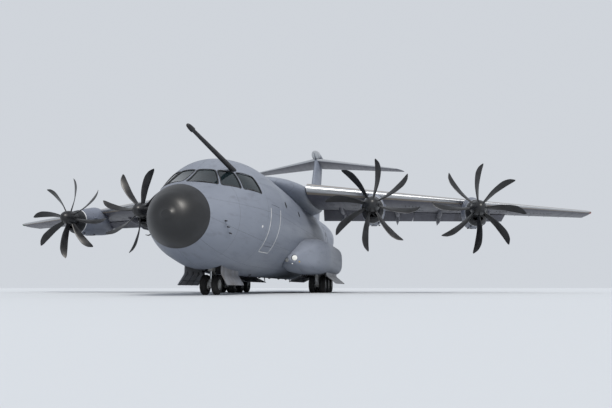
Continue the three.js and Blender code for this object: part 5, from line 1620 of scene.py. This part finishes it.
holdLook = {
    "frames": (8.0, 24.0, 0.62), "frameWidth": 0.06, "frameDepth": 0.1, "reach": 128.0,
    "rails": [-1.45, -0.9, -0.35, 0.35, 0.9, 1.45], "railHalf": 0.045, "railHeight": 0.025,
    "grips": 18, "gripWidth": 0.05, "gripHalf": 1.75, "gripHeight": 0.012,
    # degrees round the hull of the crew door's treads, which lie on its inner face, and of its hand rails
    "treads": [114.0, 107.5, 101.0, 94.5, 88.0], "treadWidth": 0.2,
    "handRail": (116, 86, 24), "posts": (1, 12, 22), "handRailDeep": 0.07,
}


def buildHold():
    wall, floor = fuselage["wall"], fuselage["floorTop"]
    angle = np.linspace(-holdLook["reach"], holdLook["reach"], 64)
    first, last, step = holdLook["frames"]
    parts = []
    for station in np.arange(first, last, step):
        path = np.column_stack([np.full(len(angle), station), angle])
        parts.append(skinStrip(path, holdLook["frameWidth"], 0.01 - wall, wall + holdLook["frameDepth"],
                               step=0.15))
    for x in holdLook["rails"]:
        rail = blockAbout(x, holdLook["railHalf"], first, last, floor - 0.01, floor + holdLook["railHeight"])
        parts.append(lined(rail))
    addPiece("hold_frames_and_rails", parts, ["hold", "metal"])


def onRamp(start, end, x, half, lift):
    # a flat strip on the ramp's sloping upper face
    low, high = rampTop(start), rampTop(end)
    outline = [[start, low - 0.01], [end, high - 0.01], [end, high + lift], [start, low + lift]]
    return drawnAcross(outline, x - half, x + half)


def buildRampFloor():
    front, back = ramp["front"] + 0.1, ramp["back"] - 0.75
    parts = [lined(onRamp(front, back, x, holdLook["railHalf"], holdLook["railHeight"]))
             for x in holdLook["rails"]]
    for station in np.linspace(front, back, holdLook["grips"]):
        parts.append(onRamp(station, station + holdLook["gripWidth"], 0, holdLook["gripHalf"],
                            holdLook["gripHeight"]))
    addPiece("ramp_rails_and_grips", parts, ["dark", "metal"], body="cargo_ramp")


def buildTreads():
    start, end, inner = crewDoor["front"] + 0.1, crewDoor["back"] - 0.1, crewDoor["wall"]
    parts = []
    for degrees in holdLook["treads"]:
        path = [[start, degrees], [end, degrees]]
        parts.append(skinStrip(path, holdLook["treadWidth"], 0.004 - inner, inner + 0.03))
    for station in (start - 0.03, end + 0.03):
        angle = np.linspace(*holdLook["handRail"])
        rail, out = skinPoints(np.full(len(angle), station), angle)
        deep, foot = rail - out * (inner + holdLook["handRailDeep"]), rail - out * (inner - 0.01)
        parts.append(lined(pipe(deep, 0.02, 12)))
        parts += [lined(bar(foot[i], deep[i], 0.016)) for i in holdLook["posts"]]
    addPiece("crew_door_treads", parts, ["dark", "gear"], body="crew_door")

# Small things that stand on the skin

skinDetails = {
    # station and degrees round the hull from the top: drains and antennas, radius and height of a dome,
    # height and chord of a blade
    "domes": [(7.27, 180), (10.93, 180), (13.45, 180), (16.03, 180), (18.75, 180), (21.2, 180), (21.6, 148),
              (5.9, 196), (9.2, 168), (12.4, 200)], "dome": (0.085, 0.055),
    "crownBlades": [(8.6, 0), (9.9, 0), (25.6, 0), (27.4, 0)], "crownBlade": (0.34, 0.3),
    "bellyBlades": [(8.6, 180), (14.7, 180), (22.6, 180)], "bellyBlade": (0.22, 0.26),
    "probes": [(1.75, 96), (1.95, 104), (2.2, 112)],
    # the white line beside the crew door, as stations and degrees, open at the top
    "doorLine": {"front": 5.38, "back": 6.78, "top": 84, "foot": 129.5, "width": 0.035},
    "paratroopDoor": {"front": 22.88, "back": 24.12, "top": 62.0, "bottom": 118.0, "corner": 0.14},
    "handle": (23.36, 23.64, 92.0, 95.0, 0.05), "vents": [13.4, 21.9], "vent": (0.42, 48.0, 52.0, 0.04),
    "roundWindows": [(8.3, 74.0), (12.0, 74.0), (23.5, 76.0)],
}


def skinOutline(station0, station1, degrees0, degrees1, corner):
    # a rounded rectangle on the skin, its corner in metres along and round
    degree = math.radians(fuselage["halfHigh"])
    outline = roundedOutline(station0, station1, 0, (degrees1 - degrees0) * degree, corner, 7)
    return np.column_stack([outline[:, 0], degrees0 + outline[:, 1] / degree])


def dome(station, degrees, radius, height, finish=0):
    # height . sqrt(1 - (r / radius)^2), turned about the skin's normal
    point, out = skinPoint(station, degrees)
    share = np.linspace(0, 1, 8)
    profile = np.column_stack([radius * share, height * np.sqrt(1 - share**2)])
    return lined(turned(np.vstack([profile, [[radius, -0.03], [0, -0.03]]]), point, out, 28), finish)


def bladeAntenna(station, degrees, tall, chord):
    # a swept fin: lens outlines of chord . (1 - 0.45 t) carried out along the normal, leaning back as t grows
    point, out = skinPoint(station, degrees)
    t = np.array([-0.15, 0.0, 0.3, 0.6, 0.85, 0.96, 1.0])[:, None]
    angle = ring(20)[None, :]
    wide = chord * (1 - 0.45 * np.clip(t, 0, 1)) * np.where(t > 0.9, 0.9, 1)
    y = wide * np.cos(angle) / 2 + 0.5 * chord * np.clip(t, 0, 1)
    x = 0.09 * wide * np.sin(angle) * np.abs(np.sin(angle)) ** 0.3
    across = unit(np.cross(out, (0, 1, 0)))
    return sleeve(point + y[..., None] * (0, 1, 0) + x[..., None] * across + (tall * t)[..., None] * out)


def airProbe(station, degrees):
    # a short stem that bends forward
    point, out = skinPoint(station, degrees)
    tip = point + out * 0.13
    path = [point - out * 0.03, tip - out * 0.02, tip + (0, -0.05, 0), tip + (0, -0.24, 0)]
    return pipe(path, [0.03, 0.024, 0.018, 0.011], 12, up=(0.1, 0.2, 1.0))


def buildAntennas():
    parts = [dome(*place, *skinDetails["dome"]) for place in skinDetails["domes"]]
    for key in ("crownBlade", "bellyBlade"):
        parts += [bladeAntenna(*place, *skinDetails[key]) for place in skinDetails[key + "s"]]
    for side in (1, -1):
        parts += [airProbe(station, side * degrees) for station, degrees in skinDetails["probes"]]
    addPiece("antennas_and_probes", parts, "dark")


def buildDoorLine():
    line = skinDetails["doorLine"]
    bend = np.array([[0, line["foot"] - 2], [0.02, line["foot"] - 0.8], [0.08, line["foot"]]])
    path = np.vstack([[line["front"], line["top"]], bend + (line["front"], 0),
                      (bend * (-1, 1) + (line["back"], 0))[::-1], [line["back"], line["top"]]])
    parts = [skinStrip(path, line["width"], 0.004), dome(4.6, 103.5, 0.06, 0.012)]
    addPiece("crew_door_marking", parts, "white")


def buildSideWindows():
    door, angle = skinDetails["paratroopDoor"], ring(28)
    length, top, bottom, corner = skinDetails["vent"]
    parts = []
    for side in (1, -1):
        for grow, width in ((0.0, 0.022), (0.05, 0.012)):
            outline = skinOutline(door["front"] - grow, door["back"] + grow, door["top"] - 1.5 * grow,
                                  door["bottom"] + 1.5 * grow, door["corner"])
            parts.append(skinStrip(outline * (1, side), width, 0.003, ringed=True))
        for station, degrees in skinDetails["roundWindows"]:
            path = np.column_stack([station + 0.155 * np.cos(angle), side * (degrees + 3.2 * np.sin(angle))])
            parts.append(skinStrip(path, 0.035, 0.008, ringed=True))
            parts.append(dome(station, side * degrees, 0.14, 0.004, 1))
        parts.append(skinStrip(skinOutline(*skinDetails["handle"]) * (1, side), 0.014, 0.004, ringed=True))
        for station in skinDetails["vents"]:
            vent = skinOutline(station, station + length, top, bottom, corner) * (1, side)
            parts.append(skinStrip(vent, 0.02, 0.003, ringed=True))
    addPiece("side_windows_and_doors", parts, ["dark", "glass"])


tailBlisters = {
    # stations, and degrees round the hull: a long blister to starboard, its half width and height;
    # a dark patch to port with its half width in degrees at both ends; a small plate between them
    "blister": (33.55, 35.6, 228.5), "blisterSize": (0.2, 0.15), "middle": 34.58, "half": 1.06,
    "patch": [(34.3, 36.9), (106, 95), (0.5, 9)], "plate": [[35.95, 155], [36.25, 155]],
}


def blisterBody():
    # rings of cos a . half width round the hull and sin a . height off it, swelling as a half circle
    start, end, degrees = tailBlisters["blister"]
    station = np.linspace(start, end, 20)
    swell = rounding(np.abs(station - tailBlisters["middle"]), tailBlisters["half"], 0.02)[:, None, None]
    point, out = skinPoints(station, degrees)
    around = unit(np.cross(out, (0, 1, 0)))
    angle = ring(24)[None, :, None]
    wide, tall = tailBlisters["blisterSize"]
    return sleeve(point[:, None] + np.cos(angle) * around[:, None] * wide * swell
                  + np.sin(angle) * out[:, None] * tall * swell)


def patchBody():
    # a low arch between two lines on the skin: 0.05 . sin(pi s) off the straight line from one to the other
    station, degrees, half = (np.linspace(*row, 24) for row in tailBlisters["patch"])
    low, high = (skinPoints(station, degrees + shift)[0] for shift in (half, -half))
    out = skinPoints(station, degrees)[1][:, None]
    share = np.linspace(0, 1, 8)[None, :, None]
    arc = low[:, None] * (1 - share) + high[:, None] * share
    lift = (0.05 * np.sin(math.pi * share) + 0.012) * out
    return sleeve(np.concatenate([arc + lift, (arc - 0.04 * out)[:, ::-1]], 1))


def buildTailBlisters():
    parts = [blisterBody(), patchBody(), skinStrip(tailBlisters["plate"], 0.2, 0.012)]
    addPiece("tail_blisters", parts, "dark")
    skid = cut(blockAbout(0, 0.6, 28.3, 28.48, 1.4, 2.3), fuselageBody(27.0, 30.0, 0.03))
    skid = keep(skid, fuselageBody(27.0, 30.0, -0.06), blockAbout(0, 2, 27, 30, 0, 2.3))
    addPiece("ramp_skid", skid, "dark", body="cargo_ramp", bevel=0.004)


def buildLamps():
    parts = []
    for side in (1, -1):
        for x, y, z, radius in lampsLook["lights"]:
            parts += lampBody((side * x, y, z), (0.25 * side * np.sign(x - 2.4), -1, -0.12), radius)
        # the small lenses' amber, white and blue colours are painted glints
        for x, y, z, radius, finish in lampsLook["lenses"]:
            parts.append(lined(longBar(side * x, y + 0.14, y, z, radius * 1.3, radius), finish))
    addPiece("sponson_lamps", parts, ["chrome", "gear", "amber", "lamp", "blueGlintLens"])


# Small things on the wings, the engines and the tail


def wingSurface(side, span, share, below, lift):
    # height of the wing's skin at a span and a share of the chord, lift metres off it
    lead, trail, thickness, level = straightRead(wing["table"], span)
    chord = trail - lead
    sign = -1 if below else 1
    z = level + sign * (sectionHalf(share, thickness) * chord + lift)
    z = z + (0.25 - share) * chord * wing["incidence"]
    return np.stack([side * span + 0 * z, lead + share * chord, z], -1)


def wingPatch(side, spans, front, back, below=False, lift=0.008, sink=0.02, rows=8):
    # a thin plate on the wing's skin between two spans; front and back are its shares of the chord at each
    span = np.linspace(*spans, rows)[:, None]
    t = np.linspace(0, 1, 8)[None, :]
    along = (span - spans[0]) / (spans[1] - spans[0])
    share = (front[0] + (front[1] - front[0]) * along) * (1 - t) + (back[0] + (back[1] - back[0]) * along) * t
    skin = wingSurface(side, span + 0 * share, share, below, lift)
    under = wingSurface(side, span + 0 * share, share, below, -sink)
    return sleeve(np.concatenate([skin, under[:, ::-1]], 1))


spoilers = {
    "overhang": 0.26, "lift": 0.012, "first": 3.7, "last": 15.5, "count": 5, "gap": 0.05, "chord": 0.1,
}


def hingeShare(span):
    # share of the chord where the flap's hinge line crosses a span
    lead, trail = straightRead(wing["table"], span)[:2]
    (inner, start), (outer, end) = flap["inner"][:2], flap["outer"][:2]
    t = (span - inner) / (outer - inner)
    return (start + t * (end - start) - lead) / (trail - lead)


def buildSpoilers(side, name):
    edges = np.linspace(spoilers["first"], spoilers["last"], spoilers["count"] + 1)
    parts = []
    for start, end in zip(edges[:-1], edges[1:]):
        spans = (start + spoilers["gap"] / 2, end - spoilers["gap"] / 2)
        back = [hingeShare(span) - 0.008 for span in spans]
        front = [share - spoilers["chord"] for share in back]
        parts.append(wingPatch(side, spans, front, back, lift=spoilers["lift"]))
    # a thin shroud behind the spoilers hangs over the slot and the raised flap
    spans = (flap["inner"][0] + 0.05, flap["outer"][0] - 0.05)
    front = [hingeShare(span) - 0.035 for span in spans]
    back = []
    for span in spans:
        lead, trail = straightRead(wing["table"], span)[:2]
        back.append(hingeShare(span) + spoilers["overhang"] / (trail - lead))
    parts.append(wingPatch(side, spans, front, back, lift=spoilers["lift"], sink=-0.004, rows=24))
    addPiece(f"spoilers_{name}", parts, "wing", bevel=0.003)


underWing = {
    "louvres": [(8.9, 0.2), (8.95, 0.46), (14.9, 0.3), (17.2, 0.35)],  # span and share of the chord
    "louvreCount": 5, "louvreStep": 0.22, "louvreWidth": 0.05, "louvreChord": 0.075,
    # spans and shares of the chord of the round access plates, half their size across and along
    "plateSpans": [4.2, 5.6, 9.9, 11.9, 15.4, 16.9, 18.4], "plateShares": [0.3, 0.48], "plate": (0.2, 0.13),
    "rodSpans": [16.6, 17.6, 18.6, 19.6], "tipLamp": (21.05, 19.72, 5.282), "tipLampSize": (0.085, 0.2),
}


def plateEdge(side, span, share):
    # the raised edge of an access plate: an oval on the wing's lower skin, four corners at each point
    angle = ring(24)
    wide, long = underWing["plate"]
    centre = wingSurface(side, np.array(span), np.array(share), True, 0.0)
    path = centre + np.stack([wide * np.cos(angle), long * np.sin(angle), 0 * angle], -1)
    lead, trail = straightRead(wing["table"], path[:, 0] * side)[:2]
    skin = wingSurface(side, path[:, 0] * side, (path[:, 1] - lead) / (trail - lead), True, 0.0)
    inner = skin + np.stack([-0.012 * np.cos(angle), -0.012 * np.sin(angle), 0 * angle], -1)
    low, high = (0, 0, 0.004), (0, 0, 0.01)
    return sleeve(np.stack([skin - low, inner - low, inner + high, skin + high], 1), ringed=True)


def buildUnderWing(side, name):
    parts = []
    # the louvres are dark plates: painted shade where their slots open into the wing
    for first, share in underWing["louvres"]:
        for i in range(underWing["louvreCount"]):
            span = first + underWing["louvreStep"] * i
            spans, end = (span, span + underWing["louvreWidth"]), share + underWing["louvreChord"]
            parts.append(wingPatch(side, spans, (share, share), (end, end), True, 0.006, rows=3))
    for span in underWing["plateSpans"]:
        parts += [plateEdge(side, span, share) for share in underWing["plateShares"]]
    addPiece(f"wing_louvres_{name}", parts, "dark")


def buildRods(body, ends):
    # thin rods that lead off static, each from its root to its tip
    rods = [bar(root, tip, 0.009, 0.004, 8) for root, tip in ends]
    addPiece(f"static_rods_{body}", rods, "dark", body=body)


def buildWingDetails(side, name):
    buildSpoilers(side, name)
    buildUnderWing(side, name)
    fitting = [block(side * 15.87, side * 15.97, 20.02, 20.34, 5.36, 5.5),
               bar((side * 15.9, 20.34, 5.43), (side * 15.9, 20.5, 5.42), 0.03)]
    addPiece(f"flap_end_fitting_{name}", fitting, "metal", bevel=0.006)

    share = np.linspace(0, math.pi, 14)
    radius, half = underWing["tipLampSize"]
    profile = np.column_stack([radius * np.sin(share) ** 0.8, -half * np.cos(share)])
    lamp = turned(profile, np.array(underWing["tipLamp"]) * (side, 1, 1), (0.1 * side, 1, 0), 24)
    addPiece(f"wing_tip_lamp_{name}", lamp, "redLens" if side > 0 else "greenLens")

    ends = []
    for span in underWing["rodSpans"]:
        lead, trail, _, level = straightRead(wing["table"], span)
        z = level - 0.75 * (trail - lead) * wing["incidence"]
        ends.append([(side * span, trail - 0.03, z), (side * span, trail + 0.2, z - 0.02)])
    buildRods(f"aileron_{name}", ends)


engineLook = {
    # radius and reach of the exhaust pipe, and radius of the intake's lip
    "pipe": [[0.13, -0.28], [0.13, 0.1], [0.135, 0.14], [0.16, 0.14], [0.168, 0.1], [0.168, -0.28]],
    "lipRadius": 0.028,
    "scoop": (1.75, 0.5, 0.25, 0.07),  # distance behind the propeller plane, length, height and half width
    "plates": [1.25, 2.5], "plateX": 0.32, "slots": 6, "slotAt": 2.35, "slotStep": 0.1,
}


def scoopBody(side, x, y, z):
    # a pipe along the nacelle's side that swells as a half circle
    start, length, height, radius = engineLook["scoop"]
    share = np.linspace(0, 1, 12)
    half, low, high = smoothRead(nacelle["table"], start + length * share).T
    path = [x + side * half * 0.985, y + start + length * share, z + (low + high) / 2 + height]
    return pipe(np.column_stack(path), radius * rounding(np.abs(share - 0.2), 0.82, 0.02), 18)


def buildEngineDetails(name, x, y, z):
    outline = chinOutline(x, z, 8)
    path = np.column_stack([outline[:, 0], np.full(len(outline), y + 0.365), outline[:, 1]])
    ahead = unit(np.roll(path, -1, 0) - np.roll(path, 1, 0))
    outward = np.cross(ahead, (0, 1, 0))
    angle = ring(12)[None, :, None]
    circle = np.cos(angle) * outward[:, None] + np.sin(angle) * (0, 1, 0)
    rows = path[:, None] + engineLook["lipRadius"] * circle
    parts = [turned(engineLook["pipe"], exhaustAt(x, y, z), count=40, ringed=True),
             lined(sleeve(rows, ringed=True))]
    for side in (1, -1):
        parts.append(lined(scoopBody(side, x, y, z), 2))
        for behind in engineLook["plates"]:
            start, middle = y + behind, x + side * engineLook["plateX"]
            parts.append(lined(blockAbout(middle, 0.05, start, start + 0.12, z - 0.93, z - 0.865)))
    # the slots are dark blocks on the nacelle's bottom: painted shade where the slots open into it
    for i in range(engineLook["slots"]):
        behind = engineLook["slotAt"] + engineLook["slotStep"] * i
        low = z + smoothRead(nacelle["table"], np.array([behind]))[0, 1]
        parts.append(lined(blockAbout(x, 0.16, y + behind, y + behind + 0.035, low - 0.008, low + 0.05)))
    addPiece(f"exhaust_and_intake_{name}", parts, ["metal", "dark", "nacelle"])


tailDetails = {
    "lamp": (0, 42.58, 14.24), "underLamp": (0.85, 37.9, 13.55), "elevatorRods": [4.5, 5.7, 6.9, 7.8],
    "rudderRods": [9.5, 11.0, 12.5], "rodLength": 0.18, "rodEnd": 44.1,
}


def buildTailDetails():
    quarter = np.linspace(0, 1, 10) * math.pi / 2
    profile = np.column_stack([0.07 * np.sin(quarter), -0.09 * np.cos(quarter)])
    low = [[0, -0.02], [0.07, -0.02], [0.07, 0.035], [0.0, 0.045]]
    parts = [turned(profile, tailDetails["lamp"], (0, -1, 0), 20),
             turned(low, tailDetails["underLamp"], (0, 0, -1), 20)]
    addPiece("tail_lamps", parts, "lamp")
    for name, side in sides.items():
        ends = []
        for span in tailDetails["elevatorRods"]:
            trail = straightRead(tail["plane"], span)[1]
            tip = min(trail + tailDetails["rodLength"], tailDetails["rodEnd"])
            ends.append([(side * span, station, tail["planeHeight"]) for station in (trail - 0.03, tip)])
        buildRods(f"elevator_{name}", ends)
    ends = []
    for height in tailDetails["rudderRods"]:
        trail = straightRead(tail["fin"], height)[1]
        ends.append([(0, trail - 0.03, height), (0, trail + tailDetails["rodLength"], height)])
    buildRods("rudder", ends)


buildDeck()
buildHold()
buildRampFloor()
buildTreads()
buildAntennas()
buildDoorLine()
buildSideWindows()
buildTailBlisters()
buildLamps()
for sideName, sideSign in sides.items():
    buildWingDetails(sideSign, sideName)
for engine in engines:
    buildEngineDetails(*engine[:4])
buildTailDetails()
print("details made")

# The engine blocks keep their shape and get the bare metal
for nodeName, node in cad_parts.items():
    if nodeName.startswith("engine_"):
        node.material_slots[0].material = materials["metal"]

# Floor and light

studio = {
    "floor": "c6cacf", "floorSoft": "cbcfd4", "reach": 900.0, "sides": 96,
    "sky": "e3e8ef", "skyStrength": 0.82, "sunStrength": 2.7, "sunAngle": 22.0,
    "sunColour": (1.0, 0.965, 0.91), "sunPath": (-0.45, 0.75, -0.75),
}


def buildStage():
    angle = ring(studio["sides"])
    edge = np.column_stack([np.cos(angle), np.sin(angle), 0 * angle]) * studio["reach"]
    mesh = bpy.data.meshes.new("floor")
    mesh.from_pydata(edge, [], [list(range(len(edge)))])
    floor = bpy.data.objects.new("floor", mesh)
    scene.collection.objects.link(floor)
    paint = Paint("studio_floor", roughness=0.9)
    colour = paint.blend(paint.noise(0.1, 2.0), tone(studio["floor"]), tone(studio["floorSoft"]))
    mesh.materials.append(paint.finish(colour))
    world = bpy.data.worlds.new("studio")
    world.use_nodes = True
    background = world.node_tree.nodes["Background"]
    background.inputs["Color"].default_value = (*tone(studio["sky"]), 1)
    background.inputs["Strength"].default_value = studio["skyStrength"]
    scene.world = world
    sun = bpy.data.objects.new("sun", bpy.data.lights.new("sun", "SUN"))
    sun.data.energy = studio["sunStrength"]
    sun.data.angle = math.radians(studio["sunAngle"])
    sun.data.color = studio["sunColour"]
    sun.rotation_euler = Vector(studio["sunPath"]).to_track_quat("-Z", "Y").to_euler()
    scene.collection.objects.link(sun)
    scene.view_settings.view_transform = "Standard"


buildStage()
